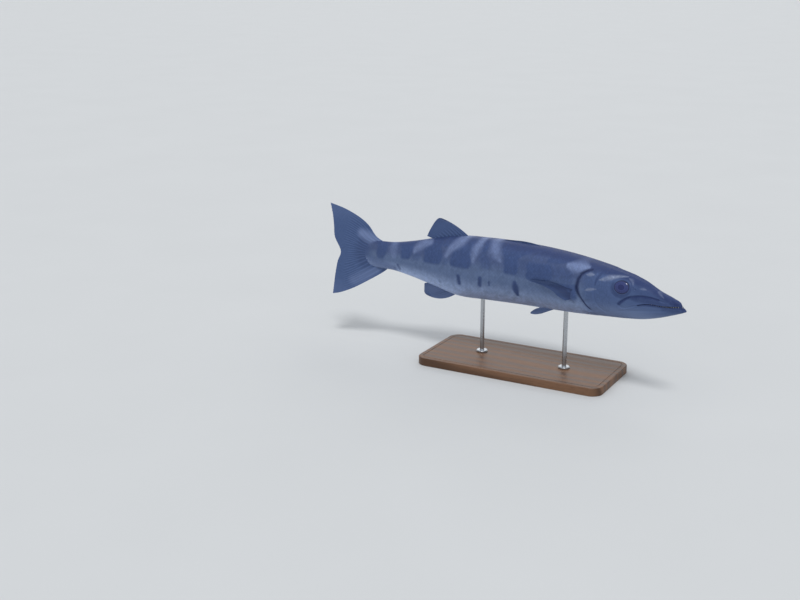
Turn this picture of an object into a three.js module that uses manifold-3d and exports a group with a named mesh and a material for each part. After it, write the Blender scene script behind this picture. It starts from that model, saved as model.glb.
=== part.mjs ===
// A great barracuda as a life-size display model, held level on a flat base by two short rods.
// Units are millimetres. +Z is up, +X points to the head, and the origin is the middle of the base's
// underside.
//
// The fish is drawn straight first: x = 0 at the tip of the lower jaw, and x falls to -890 at the tips
// of the tail. A place along it is called `behind`, its distance behind the lower jaw. y is to the fish's
// left, z is up from its axis. bend() then turns the head and the tail to the fish's right, as in the pose.

import * as THREE from 'three';
import { mergeVertices } from 'three/addons/utils/BufferGeometryUtils.js';
import Module from 'manifold-3d';

// Gap left between neighbouring solids
const GAP = 0.35;

// Pose: how far the head and the tail point away from the middle of the body, and where the bend lies
const HEAD_TURN = THREE.MathUtils.degToRad(14);
const TAIL_TURN = THREE.MathUtils.degToRad(-5);
const BEND_MIDDLE = 485;
const BEND_LENGTH = 315;

// Place of the fish over the stand: the axis at ANCHOR_BEHIND passes over the base at these offsets
const ANCHOR_BEHIND = 392;
const ANCHOR_SIDE = 7;
const AXIS_HEIGHT = 218;

// Body: the columns are the distance behind the lower jaw, the height of the back, the height of the belly,
// the half width, and how square the upper half of the section is (2 is an ellipse)
const BODY = [
  [0, -9.5, -12.5, 2.5, 2.1],
  [12, 3.5, -18.5, 9, 2.2],
  [30, 10.5, -26, 13, 2.3],
  [62, 19.5, -38, 18.5, 2.4],
  [98, 34, -48, 25, 2.5],
  [134, 43, -53.5, 32, 2.5],
  [170, 48.5, -57.5, 39, 2.5],
  [215, 54.5, -62, 45, 2.4],
  [260, 60, -66, 48, 2.3],
  [325, 65.5, -69, 49.5, 2.2],
  [400, 68.5, -71, 49.5, 2.2],
  [485, 69, -73.5, 46, 2.2],
  [555, 66, -73.5, 40, 2.2],
  [620, 53.5, -58, 30.5, 2.2],
  [675, 40.5, -44, 23, 2.2],
  [725, 32.5, -34.5, 16.5, 2.2],
  [765, 31, -33, 10.5, 2.2],
  [800, 28, -29, 5, 2.2],
];
const BODY_END = 800;
const LOWER_SQUARENESS = 2.1;
const RING_SIDES = 28;
const HEAD_RING_STEP = 12;
const TRUNK_RING_STEP = 24;
const HEAD_END = 240;

// Cut lines in side view, as [behind, z]
const GAPE = [[-6, -5], [4, -4.6], [15, -4.2], [30, -6.4], [50, -8.4], [72, -7.6], [90, -10.6], [102, -14.5]];
const JAW_HINGE = [[120, -26], [146, -36], [164, -45], [172, -80]];
const GILL_SLIT = [
  [198, 90], [207, 56], [216, 44], [231.5, 32], [235.5, 14], [235.5, -2], [230.5, -10], [219, -28],
  [210, -41], [201, -50], [190, -58], [178, -90],
];
const TAIL_CUT = 652;

// Gill cover: a plate in the side of the head, in front of the gill slit
const COVER_THICKNESS = 5;
const COVER_OUTLINE = [
  [196, 46], [208, 46], [214, 43], [228.5, 30.5], [232.6, 14], [232.5, -2], [227.6, -9], [216.3, -26.5],
  [208, -39], [198, -48.5], [184, -52], [178, -44], [187, -30], [192.5, -10], [194, 10], [192.5, 28],
];

// Mouth: the slit between the jaws is open this much at the tip and closes to GAP at the corner
const GAPE_OPEN = 2.6;
const MOUTH_CORNER = 102;
const TEETH = { radius: 0.95, upper: 2, lower: 1.8, sides: 5, inset: 1.8, root: 2 };
const UPPER_TEETH = [17, 24, 33, 42, 52, 62];
const LOWER_TEETH = [13, 20.5, 28.5, 37.5, 47];

// Eye: the middle of the cornea on the head's side, the ball's radii, and how far it stands proud
const EYE = { behind: 135.5, z: 19.7, along: 18, high: 14.5, deep: 6.5, proud: 3.3, sides: 16, rings: 10 };

// Fins. Their roots run into the body and are trimmed to it
const FIN_ROOT_THICKNESS = 3.6;
const FIN_EDGE_THICKNESS = 0.8;
const FIN_SUNK = 3;
const TAIL_ROOT = [[742, 27], [778, 26], [792, 12], [795, 0], [792, -12], [776, -27], [736, -29]];
const TAIL_UPPER_LOBE = [[742, 27], [769, 41], [789, 66], [813, 84], [850, 101], [889, 112]];
const TAIL_LOWER_LOBE = [[736, -29], [752, -43], [790, -67], [830, -90], [864, -105], [887, -111]];
const TAIL_EDGE = [
  [889, 112], [883.5, 84], [881, 58], [879, 30], [864, -3],
  [873, -30], [880, -64], [883.5, -88], [887, -111],
];

// Stand
const BASE = { length: 440, width: 200, thickness: 18, corner: 26, bevel: 2, cornerSegments: 4 };
const ROD_RADIUS = 5;
const ROD_SIDES = 16;
const RODS = { front: 288, rear: 496 };
const COLLAR = { radius: 13, height: 5, chamfer: 1.2 };

const wasm = await Module();
wasm.setup();

// Smooth curve through the rows of a table: column `column` at the place x of column 0
function through(table, column, x) {
  const last = table.length - 1;
  const at = Math.min(Math.max(x, table[0][0]), table[last][0]);
  const slope = (i) => (table[i + 1][column] - table[i][column]) / (table[i + 1][0] - table[i][0]);
  const width = (i) => table[i + 1][0] - table[i][0];
  const tangent = (i) => {
    if (i === 0) return slope(0);
    if (i === last) return slope(last - 1);
    return (slope(i - 1) * width(i) + slope(i) * width(i - 1)) / (width(i - 1) + width(i));
  };
  const i = Math.min(Math.max(table.findLastIndex((row) => row[0] <= at), 0), last - 1);
  const t = (at - table[i][0]) / width(i);
  const rise = t * t * (3 - 2 * t);
  return table[i][column] * (1 - rise) + table[i + 1][column] * rise
    + width(i) * (t * (1 - t) ** 2 * tangent(i) - t * t * (1 - t) * tangent(i + 1));
}

// The body's section at a place, `grow` larger all round
function section(behind, grow = 0) {
  const top = through(BODY, 1, behind) + grow;
  const bottom = through(BODY, 2, behind) - grow;
  return {
    top,
    bottom,
    middle: (top + bottom) / 2,
    half: through(BODY, 3, behind) + grow,
    square: through(BODY, 4, behind),
  };
}

// A point of the section: angle 0 is the left side and a quarter turn is the back
function ringPoint(behind, angle, grow = 0) {
  const { top, bottom, middle, half, square } = section(behind, grow);
  const upper = Math.sin(angle) > 0;
  const power = 2 / (upper ? square : LOWER_SQUARENESS);
  const across = Math.sign(Math.cos(angle)) * Math.abs(Math.cos(angle)) ** power;
  const rise = Math.abs(Math.sin(angle)) ** power;
  const reach = (upper ? top : bottom) - middle;
  return new THREE.Vector3(-behind, half * across, middle + reach * rise);
}

// Half width of the body at a height
function flank(behind, z) {
  const { top, bottom, middle, half, square } = section(behind);
  const upper = z > middle;
  const share = Math.min(Math.abs(z - middle) / (upper ? top - middle : middle - bottom), 1);
  const power = upper ? square : LOWER_SQUARENESS;
  return half * (1 - share ** power) ** (1 / power);
}

// Where the axis runs in plan at a place, and which way it points
function spine(behind) {
  const ahead = Math.max(BEND_MIDDLE - behind, 0);
  const after = Math.max(behind - BEND_MIDDLE, 0);
  const stretch = (distance, turn) => {
    const rate = turn / BEND_LENGTH;
    const curved = Math.min(distance, BEND_LENGTH);
    const straight = distance - curved;
    return {
      turned: rate * curved,
      forward: Math.sin(rate * curved) / rate + straight * Math.cos(turn),
      side: (1 - Math.cos(rate * curved)) / rate + straight * Math.sin(turn),
    };
  };
  const head = stretch(ahead, HEAD_TURN);
  const tail = stretch(after, TAIL_TURN);
  return {
    x: head.forward - tail.forward,
    y: tail.side - head.side,
    heading: head.turned + tail.turned,
  };
}

const anchor = spine(ANCHOR_BEHIND);

function bend(point) {
  const { x, y, heading } = spine(-point.x);
  return new THREE.Vector3(
    x - anchor.x + point.y * Math.sin(heading),
    y - anchor.y + ANCHOR_SIDE + point.y * Math.cos(heading),
    point.z + AXIS_HEIGHT,
  );
}

// Geometry from corner points and triangles
function surface(points, triangles) {
  const geometry = new THREE.BufferGeometry();
  geometry.setAttribute('position', new THREE.Float32BufferAttribute(points.flatMap((p) => p.toArray()), 3));
  geometry.setIndex(triangles.flat());
  return geometry;
}

function solid(geometry) {
  const bare = geometry.clone();
  bare.deleteAttribute('normal');
  bare.deleteAttribute('uv');
  const merged = mergeVertices(bare, 1e-4);
  return new wasm.Manifold(new wasm.Mesh({
    numProp: 3,
    vertProperties: new Float32Array(merged.attributes.position.array),
    triVerts: new Uint32Array(merged.index.array),
  }));
}

function geometryOf(shape) {
  const { numProp, vertProperties, triVerts } = shape.getMesh();
  const points = [];
  for (let i = 0; i < vertProperties.length; i += numProp) {
    points.push(new THREE.Vector3(vertProperties[i], vertProperties[i + 1], vertProperties[i + 2]));
  }
  return surface(points, Array.from(triVerts));
}

function bent(geometry) {
  const { position } = geometry.attributes;
  const point = new THREE.Vector3();
  for (let i = 0; i < position.count; i += 1) {
    const moved = bend(point.fromBufferAttribute(position, i));
    position.setXYZ(i, moved.x, moved.y, moved.z);
  }
  return geometry;
}

// Closed skin over a grid of rings, with a point at each end. rings[i][j] goes round the axis
function loft(rings, first, last) {
  const sides = rings[0].length;
  const points = [...rings.flat(), first, last];
  const triangles = [];
  const front = points.length - 2;
  const back = points.length - 1;
  for (let j = 0; j < sides; j += 1) {
    const next = (j + 1) % sides;
    triangles.push([front, j, next]);
    for (let i = 0; i + 1 < rings.length; i += 1) {
      const a = i * sides;
      const b = a + sides;
      triangles.push([a + j, b + next, a + next], [a + j, b + j, b + next]);
    }
    const end = (rings.length - 1) * sides;
    triangles.push([back, end + next, end + j]);
  }
  return surface(points, triangles);
}

// The straight body as one closed shape, `grow` larger all round
function bodyShape(grow = 0) {
  const places = [];
  for (let at = 0.5; at < HEAD_END; at += HEAD_RING_STEP) places.push(at);
  for (let at = HEAD_END; at < BODY_END; at += TRUNK_RING_STEP) places.push(at);
  places.push(BODY_END);
  const rings = places.map((behind, i) => {
    const shift = (i === places.length - 1 ? grow : 0) - (i === 0 ? grow : 0);
    return Array.from({ length: RING_SIDES }, (_, j) => {
      const point = ringPoint(behind, (j / RING_SIDES) * 2 * Math.PI, grow);
      point.x -= shift;
      return point;
    });
  });
  const tip = section(0);
  const tail = section(BODY_END);
  return solid(loft(
    rings,
    new THREE.Vector3(1 + grow, 0, tip.middle),
    new THREE.Vector3(-BODY_END - grow, 0, tail.middle),
  ));
}

// A prism through the fish: an outline in side view, from y = from to y = to
function prism(outline, from, to) {
  const shape = new THREE.Shape(outline.map(([behind, z]) => new THREE.Vector2(-behind, z)));
  const geometry = new THREE.ExtrudeGeometry(shape, { depth: to - from, bevelEnabled: false });
  geometry.rotateX(Math.PI / 2);
  geometry.translate(0, to, 0);
  return solid(geometry);
}

// An outline moved outwards by a distance
function grown(outline, by) {
  const area = outline.reduce((sum, [x, z], i) => {
    const [nextX, nextZ] = outline[(i + 1) % outline.length];
    return sum + x * nextZ - nextX * z;
  }, 0);
  const sign = Math.sign(area);
  return outline.map(([x, z], i) => {
    const before = outline[(i + outline.length - 1) % outline.length];
    const after = outline[(i + 1) % outline.length];
    const dx = after[0] - before[0];
    const dz = after[1] - before[1];
    const length = Math.hypot(dx, dz);
    return [x + (sign * by * dz) / length, z - (sign * by * dx) / length];
  });
}

const curve2 = (points) => new THREE.SplineCurve(points.map(([x, z]) => new THREE.Vector2(x, z)));

// Smooth line through a few points of an outline
function smooth(points, count) {
  return curve2(points).getPoints(count).map((p) => [p.x, p.y]);
}

// Fin blade: rays from root to edge, `rays` across and `steps` along each.
// centre(u, v) is the middle surface: u runs over the rays from the front one, v from the root to the edge
function blade(centre, rays, steps) {
  const grid = [];
  for (let i = 0; i <= rays; i += 1) {
    grid.push(Array.from({ length: steps + 1 }, (_, j) => centre(i / rays, j / steps)));
  }
  const cells = [[], []];
  for (let i = 0; i <= rays; i += 1) {
    for (let j = 0; j <= steps; j += 1) {
      const across = [grid[Math.min(i + 1, rays)][j], grid[Math.max(i - 1, 0)][j]];
      const onward = [grid[i][Math.min(j + 1, steps)], grid[i][Math.max(j - 1, 0)]];
      const along = new THREE.Vector3().subVectors(...across);
      const out = new THREE.Vector3().subVectors(...onward);
      const normal = new THREE.Vector3().crossVectors(along, out).normalize();
      const half = THREE.MathUtils.lerp(FIN_ROOT_THICKNESS, FIN_EDGE_THICKNESS, Math.sqrt(j / steps)) / 2;
      cells[0].push(grid[i][j].clone().addScaledVector(normal, half));
      cells[1].push(grid[i][j].clone().addScaledVector(normal, -half));
    }
  }
  const size = cells[0].length;
  const at = (i, j) => i * (steps + 1) + j;
  const triangles = [];
  const quad = (a, b, c, d) => triangles.push([a, b, c], [a, c, d]);
  for (let i = 0; i < rays; i += 1) {
    for (let j = 0; j < steps; j += 1) {
      quad(at(i, j), at(i + 1, j), at(i + 1, j + 1), at(i, j + 1));
      quad(size + at(i, j), size + at(i, j + 1), size + at(i + 1, j + 1), size + at(i + 1, j));
    }
    quad(at(i, 0), size + at(i, 0), size + at(i + 1, 0), at(i + 1, 0));
    quad(at(i, steps), at(i + 1, steps), size + at(i + 1, steps), size + at(i, steps));
  }
  for (let j = 0; j < steps; j += 1) {
    quad(at(0, j), at(0, j + 1), size + at(0, j + 1), size + at(0, j));
    quad(at(rays, j), size + at(rays, j), size + at(rays, j + 1), at(rays, j + 1));
  }
  return solid(surface([...cells[0], ...cells[1]], triangles));
}

// Upright fin in the middle plane. The root and the edge are outlines of [behind, z], front ray first,
// and the front ray bows out by `bow`
function uprightFin(root, edge, bow, rays, steps) {
  const rootCurve = curve2(root);
  const edgeCurve = curve2(edge);
  return blade((u, v) => {
    const start = rootCurve.getPoint(u);
    const end = edgeCurve.getPoint(u);
    const point = start.clone().lerp(end, v);
    const out = bow * (1 - u) * 4 * v * (1 - v);
    return new THREE.Vector3(-point.x, 0, point.y + out);
  }, rays, steps);
}

// The fish's parts, straight
const fullBody = bodyShape();
const bodyRoom = bodyShape(GAP);
// Beyond the body on every side, and ahead of the jaw
const FAR = 90;
const AHEAD = 40;

const slit = smooth(GILL_SLIT, 18);
const headZone = (shift) => [
  [-AHEAD, -FAR],
  [-AHEAD, FAR],
  ...slit.map(([behind, z]) => [behind - shift, z]),
];
const gapeLine = smooth(GAPE, 14);
const gapeHalf = (behind) => Math.max(GAP, GAPE_OPEN * (1 - behind / MOUTH_CORNER)) / 2;
const jawZone = (side, shift) => [
  [-AHEAD, -FAR],
  [-AHEAD, GAPE[0][1] + side * gapeHalf(0)],
  ...gapeLine.map(([behind, z]) => [behind, z + side * gapeHalf(behind)]),
  ...JAW_HINGE.map(([behind, z]) => [behind + shift, z]),
];

// A small tooth: a cone whose root is sunk in the jaw. up is 1 for the lower jaw's teeth
function tooth(behind, side, up) {
  const z = through(gapeLine, 1, behind) - up * gapeHalf(behind);
  const tall = (up > 0 ? TEETH.lower : TEETH.upper) * (1 - behind / MOUTH_CORNER);
  const cone = new THREE.ConeGeometry(TEETH.radius, tall + TEETH.root, TEETH.sides);
  cone.rotateX((up * Math.PI) / 2);
  cone.translate(-behind, side * (flank(behind, z) - TEETH.inset), z + (up * (tall - TEETH.root)) / 2);
  return solid(cone);
}

function withTeeth(jaw, places, up) {
  return places.reduce(
    (shape, behind) => shape.add(tooth(behind, 1, up)).add(tooth(behind, -1, up)),
    jaw,
  );
}

// Eyeball on one side, lying in the plane of the head's surface there
function eyeball(side, grow = 0) {
  const geometry = new THREE.SphereGeometry(1, EYE.sides, EYE.rings);
  geometry.rotateX(Math.PI / 2);
  geometry.scale(EYE.along + grow, EYE.high + grow, EYE.deep + grow);
  const reach = 8;
  const slopeAlong = (flank(EYE.behind + reach, EYE.z) - flank(EYE.behind - reach, EYE.z)) / (2 * reach);
  const slopeUp = (flank(EYE.behind, EYE.z + reach) - flank(EYE.behind, EYE.z - reach)) / (2 * reach);
  const outward = new THREE.Vector3(slopeAlong, side, -slopeUp).normalize();
  const along = new THREE.Vector3(1, 0, 0).addScaledVector(outward, -outward.x).normalize();
  const up = new THREE.Vector3().crossVectors(outward, along);
  geometry.applyMatrix4(new THREE.Matrix4().makeBasis(along, up, outward));
  const centre = new THREE.Vector3(-EYE.behind, side * flank(EYE.behind, EYE.z), EYE.z);
  centre.addScaledVector(outward, EYE.proud - EYE.deep);
  geometry.translate(centre.x, centre.y, centre.z);
  return solid(geometry);
}

function gillCover(side, grow) {
  const [from, to] = side > 0 ? [1, FAR] : [-FAR, -1];
  const outer = grow ? bodyRoom : fullBody;
  const plate = outer.intersect(prism(grown(COVER_OUTLINE, grow), from, to));
  return plate.subtract(bodyShape(-COVER_THICKNESS - grow));
}

function headShape() {
  const forward = fullBody.intersect(prism(headZone(GAP / 2), -FAR, FAR));
  const skull = forward.subtract(prism(jawZone(1, GAP), -FAR, FAR));
  const opened = [1, -1].reduce(
    (shape, side) => shape.subtract(gillCover(side, GAP)).subtract(eyeball(side, GAP)),
    skull,
  );
  return withTeeth(opened, UPPER_TEETH, -1);
}

function lowerJaw() {
  const jaw = fullBody.intersect(prism(jawZone(-1, 0), -FAR, FAR));
  return withTeeth(jaw, LOWER_TEETH, 1);
}

// The body between two upright cuts across it
function lengthOf(shape, from, to) {
  return shape.intersect(prism([[from, -FAR], [from, FAR], [to, FAR], [to, -FAR]], -FAR, FAR));
}

function trunkShape() {
  const behindHead = fullBody.subtract(prism(headZone(-GAP / 2), -FAR, FAR));
  return lengthOf(behindHead, 0, TAIL_CUT - GAP / 2);
}

// Tail fin: a fan of rays between the two swept-back lobes, whose outer edges bow away from the straight
function tailFin() {
  const root = curve2(TAIL_ROOT);
  const edge = curve2(TAIL_EDGE);
  const lobes = [[curve2(TAIL_UPPER_LOBE), 0], [curve2(TAIL_LOWER_LOBE), 1]];
  return blade((u, v) => {
    const point = root.getPoint(u).lerp(edge.getPoint(u), v);
    for (const [lobe, end] of lobes) {
      const chord = root.getPoint(end).lerp(edge.getPoint(end), v);
      point.addScaledVector(lobe.getPoint(v).sub(chord), (1 - Math.abs(u - end)) ** 3);
    }
    return new THREE.Vector3(-point.x, 0, point.y);
  }, 20, 6);
}

const secondDorsalFin = () => uprightFin(
  [[528, 67 - FIN_SUNK], [575, 61.5 - FIN_SUNK], [616, 53 - FIN_SUNK]],
  [[603, 101.5], [611, 100.5], [620, 91], [631, 73], [639, 56]],
  4,
  10,
  4,
);

const analFin = () => uprightFin(
  [[562, -74 + FIN_SUNK], [595, -66 + FIN_SUNK], [626, -56 + FIN_SUNK]],
  [[640, -84], [645, -79], [645.5, -70], [645, -57]],
  -11,
  10,
  4,
);

// First dorsal fin, folded down along the back as a low keel
const firstDorsalFin = () => uprightFin(
  [[334, 65 - FIN_SUNK], [370, 66.5 - FIN_SUNK], [414, 68 - FIN_SUNK]],
  [[430, 70], [436, 70.5], [442, 70.2], [446, 69.6]],
  5,
  6,
  8,
);

// Paired fin folded back along the body: an outline of [behind, z] on the body's side, and how far it
// stands off
function foldedFin(side, root, edge, standOff, rays, steps) {
  const rootCurve = curve2(root);
  const edgeCurve = curve2(edge);
  const place = (u, v) => {
    const point = rootCurve.getPoint(u).lerp(edgeCurve.getPoint(u), v);
    return new THREE.Vector3(-point.x, side * (flank(point.x, point.y) + standOff(v)), point.y);
  };
  return blade(side > 0 ? (u, v) => place(1 - u, v) : place, rays, steps);
}

const pectoralFin = (side) => foldedFin(
  side,
  [[243, -3], [245, -13], [247, -23]],
  [[306, 7], [353, 3], [318, -4], [293, -12], [279, -22], [262, -29]],
  (v) => -1.6 + 6.5 * v,
  10,
  5,
);

// Pelvic fin: it hangs a little below the belly, so its outer half leaves the body's side
function pelvicFin(side) {
  const rootCurve = curve2([[300, -60], [307, -63], [314, -66.5]]);
  const edgeCurve = curve2([[344, -66], [356, -72], [368, -83], [356, -84.5], [340, -80]]);
  const place = (u, v) => {
    const point = rootCurve.getPoint(u).lerp(edgeCurve.getPoint(u), v);
    return new THREE.Vector3(-point.x, side * (19 - 6 * u + 2 * v), point.y);
  };
  return blade(side > 0 ? (u, v) => place(1 - u, v) : place, 8, 5);
}

// Stand, in its own straight frame
const bentRoom = solid(bent(geometryOf(bodyRoom)));

function basePlate() {
  const { length, width, thickness, corner, bevel, cornerSegments } = BASE;
  const x = length / 2 - corner;
  const y = width / 2 - corner;
  const shape = new THREE.Shape();
  shape.absarc(x, y, corner - bevel, 0, Math.PI / 2);
  shape.absarc(-x, y, corner - bevel, Math.PI / 2, Math.PI);
  shape.absarc(-x, -y, corner - bevel, Math.PI, 1.5 * Math.PI);
  shape.absarc(x, -y, corner - bevel, 1.5 * Math.PI, 2 * Math.PI);
  const geometry = new THREE.ExtrudeGeometry(shape, {
    depth: thickness - 2 * bevel,
    bevelSize: bevel,
    bevelThickness: bevel,
    bevelSegments: 1,
    curveSegments: cornerSegments,
  });
  geometry.translate(0, 0, bevel);
  return geometry;
}

function rodFoot(behind) {
  return bend(new THREE.Vector3(-behind, 0, 0));
}

// A rod from the base up to the belly, its top cut to the belly's shape
function rod(behind) {
  const foot = rodFoot(behind);
  const bottom = BASE.thickness + GAP;
  const height = AXIS_HEIGHT - bottom;
  const geometry = new THREE.CylinderGeometry(ROD_RADIUS, ROD_RADIUS, height, ROD_SIDES);
  geometry.rotateX(Math.PI / 2);
  geometry.translate(foot.x, foot.y, bottom + height / 2);
  return geometryOf(solid(geometry).subtract(bentRoom));
}

// Turned collar round a rod's foot
function collar(behind) {
  const foot = rodFoot(behind);
  const { radius, height, chamfer } = COLLAR;
  const bore = ROD_RADIUS + GAP;
  const profile = [
    [bore, 0], [radius, 0], [radius, height - chamfer], [radius - chamfer, height], [bore, height], [bore, 0],
  ].map(([x, y]) => new THREE.Vector2(x, y));
  const geometry = new THREE.LatheGeometry(profile, ROD_SIDES);
  geometry.rotateX(Math.PI / 2);
  geometry.translate(foot.x, foot.y, BASE.thickness + GAP);
  return geometry;
}

const paint = (color, roughness, metalness = 0) => (
  () => new THREE.MeshStandardMaterial({ color, roughness, metalness })
);
const finish = {
  back: paint(0x55607a, 0.4),
  flank: paint(0x8f9bb0, 0.35),
  fin: paint(0x2f3a48, 0.5),
  iris: paint(0x1c1d22, 0.12),
  timber: paint(0x6b4a30, 0.45),
  steel: paint(0xb9bcc0, 0.3, 1),
};

const barracuda = new THREE.Group();

function addPart(name, geometry, material) {
  const mesh = new THREE.Mesh(geometry, material());
  mesh.name = name;
  barracuda.add(mesh);
}

const addFlesh = (name, shape, material) => addPart(name, bent(geometryOf(shape)), material);
const addFin = (name, shape) => addFlesh(name, shape.subtract(bodyRoom), finish.fin);

addFlesh('head', headShape(), finish.back);
addFlesh('lower_jaw', lowerJaw(), finish.flank);
addFlesh('trunk', trunkShape(), finish.flank);
addFlesh('tail_stalk', lengthOf(fullBody, TAIL_CUT + GAP / 2, BODY_END + FAR), finish.flank);
addFin('first_dorsal_fin', firstDorsalFin());
addFin('second_dorsal_fin', secondDorsalFin());
addFin('anal_fin', analFin());
addFin('tail_fin', tailFin());
for (const [name, side] of [['left', 1], ['right', -1]]) {
  addFlesh(`gill_cover_${name}`, gillCover(side, 0), finish.flank);
  addFlesh(`eye_${name}`, eyeball(side), finish.iris);
  addFin(`pectoral_fin_${name}`, pectoralFin(side));
  addFin(`pelvic_fin_${name}`, pelvicFin(side));
}
addPart('stand_base', basePlate(), finish.timber);
for (const [name, behind] of Object.entries(RODS)) {
  addPart(`stand_rod_${name}`, rod(behind), finish.steel);
  addPart(`stand_collar_${name}`, collar(behind), finish.steel);
}

export default barracuda;
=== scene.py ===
import math

import bpy
import numpy as np
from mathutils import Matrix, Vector


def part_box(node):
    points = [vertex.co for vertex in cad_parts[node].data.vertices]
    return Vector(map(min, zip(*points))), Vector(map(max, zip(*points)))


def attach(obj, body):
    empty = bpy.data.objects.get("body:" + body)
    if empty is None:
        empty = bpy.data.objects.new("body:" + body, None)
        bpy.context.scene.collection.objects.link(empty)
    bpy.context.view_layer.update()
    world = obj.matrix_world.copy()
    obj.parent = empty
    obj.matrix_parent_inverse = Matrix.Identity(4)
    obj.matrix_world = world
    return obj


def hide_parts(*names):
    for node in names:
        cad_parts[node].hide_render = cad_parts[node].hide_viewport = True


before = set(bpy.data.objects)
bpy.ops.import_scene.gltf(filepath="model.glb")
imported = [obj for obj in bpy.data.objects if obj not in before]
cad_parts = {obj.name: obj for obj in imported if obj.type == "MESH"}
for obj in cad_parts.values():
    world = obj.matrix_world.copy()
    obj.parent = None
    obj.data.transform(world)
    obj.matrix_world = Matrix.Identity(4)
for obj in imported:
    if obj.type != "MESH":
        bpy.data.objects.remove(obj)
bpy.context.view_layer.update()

# Skin of the body
# One seamless cast of the fish from the jaws to the root of the tail, painted over a silver ground. The
# fish is drawn straight, in millimetres: `behind` is the distance behind the tip of the lower jaw, y is to
# its left and z is up from its axis. to_world() bends it into its pose over the stand and gives metres.

# Columns of BODY: behind, height of the back, height of the belly, half width, squareness of the upper half
BODY = np.array([
    [0, -9.5, -12.5, 2.5, 2.1], [12, 3.5, -18.5, 9, 2.2], [30, 10.5, -26, 13, 2.3],
    [62, 19.5, -38, 18.5, 2.4],
    [98, 34, -48, 25, 2.5], [134, 43, -53.5, 32, 2.5], [170, 48.5, -57.5, 39, 2.5],
    [215, 54.5, -62, 45, 2.4], [260, 60, -66, 48, 2.3], [325, 65.5, -69, 49.5, 2.2],
    [400, 68.5, -71, 49.5, 2.2], [485, 69, -73.5, 46, 2.2], [555, 66, -73.5, 40, 2.2],
    [620, 53.5, -58, 30.5, 2.2], [675, 40.5, -44, 23, 2.2], [725, 32.5, -34.5, 16.5, 2.2],
    [765, 31, -33, 9.5, 2.2], [780, 29, -30.5, 4, 2.2], [792, 22.5, -23.5, 1.7, 2.2],
    [800, 9, -10, 1, 2.2],
])
BODY_END = 800
LOWER_SQUARENESS = 2.1
# The upper jaw starts behind the tip of the lower one: behind, height of the snout's top
SNOUT = np.array([[0, -9.5], [6, -5.4], [9.3, -4.9], [10.2, -1.4], [12, 2.5], [18, 7], [30, 10.5]])
SNOUT_END = 18
HEAD_TURN, TAIL_TURN = math.radians(14), math.radians(-5)
BEND_MIDDLE, BEND_LENGTH = 485, 315
ANCHOR_BEHIND, ANCHOR_SIDE, AXIS_HEIGHT = 392, 7, 218
MM = 0.001


def through(table, column, places):
    """A smooth curve through one column of a table, at places of its first column."""
    at, values = table[:, 0], table[:, column]
    slope, width = np.diff(values) / np.diff(at), np.diff(at)
    inner = (slope[:-1] * width[1:] + slope[1:] * width[:-1]) / (width[1:] + width[:-1])
    tangent = np.r_[slope[0], inner, slope[-1]]
    places = np.clip(places, at[0], at[-1])
    i = np.clip(np.searchsorted(at, places, side="right") - 1, 0, len(width) - 1)
    t = (places - at[i]) / width[i]
    rise = t * t * (3 - 2 * t)
    bow = t * (1 - t) ** 2 * tangent[i] - t * t * (1 - t) * tangent[i + 1]
    return values[i] * (1 - rise) + values[i + 1] * rise + width[i] * bow


def soft(low, high, value):
    """0 at low, 1 at high, and smooth between. low may be the larger."""
    t = np.clip((value - low) / (high - low), 0, 1)
    return t * t * (3 - 2 * t)


def section(behind):
    """The body's outline at each place: top, bottom, half width and squareness."""
    behind = np.asarray(behind, float)
    snout = through(SNOUT, 1, behind)
    top = np.where(behind < SNOUT_END, snout, through(BODY, 1, behind))
    return top, through(BODY, 2, behind), through(BODY, 3, behind), through(BODY, 4, behind)


def flank(behind, z):
    """Half width of the body at a height."""
    top, bottom, half, square = section(behind)
    middle = (top + bottom) / 2
    upper = z > middle
    share = np.clip(np.abs(z - middle) / np.where(upper, top - middle, middle - bottom), 0, 1)
    power = np.where(upper, square, LOWER_SQUARENESS)
    return half * (1 - share ** power) ** (1 / power)


def spine(behind):
    """Where the axis runs in plan, and which way it points."""
    behind = np.asarray(behind, float)
    x, y, heading = 0, 0, 0
    for distance, turn, way in (
        (np.maximum(BEND_MIDDLE - behind, 0), HEAD_TURN, 1),
        (np.maximum(behind - BEND_MIDDLE, 0), TAIL_TURN, -1),
    ):
        rate = turn / BEND_LENGTH
        curved = np.minimum(distance, BEND_LENGTH)
        straight = distance - curved
        x = x + way * (np.sin(rate * curved) / rate + straight * math.cos(turn))
        y = y - way * ((1 - np.cos(rate * curved)) / rate + straight * math.sin(turn))
        heading = heading + rate * curved
    return x, y, heading


ANCHOR_X, ANCHOR_Y, _ = spine(ANCHOR_BEHIND)


def to_world(straight):
    """Points of the straight fish, in millimetres, to their places in the pose, in metres."""
    x, y, heading = spine(-straight[..., 0])
    return MM * np.stack([
        x - ANCHOR_X + straight[..., 1] * np.sin(heading),
        y - ANCHOR_Y + ANCHOR_SIDE + straight[..., 1] * np.cos(heading),
        straight[..., 2] + AXIS_HEIGHT,
    ], -1)


def spline(points, t):
    """Points of a smooth line at shares t of its length in points."""
    points = np.asarray(points, float)
    last = len(points) - 1
    place = np.clip(t, 0, 1) * last
    i = np.minimum(place.astype(int), last - 1)
    w = (place - i)[..., None]
    before, start, end, after = (points[np.clip(i + k, 0, last)] for k in (-1, 0, 1, 2))
    v0, v1 = (end - before) / 2, (after - start) / 2
    cubic, square = 2 * start - 2 * end + v0 + v1, 3 * end - 3 * start - 2 * v0 - v1
    return cubic * w ** 3 + square * w ** 2 + v0 * w + start


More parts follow.
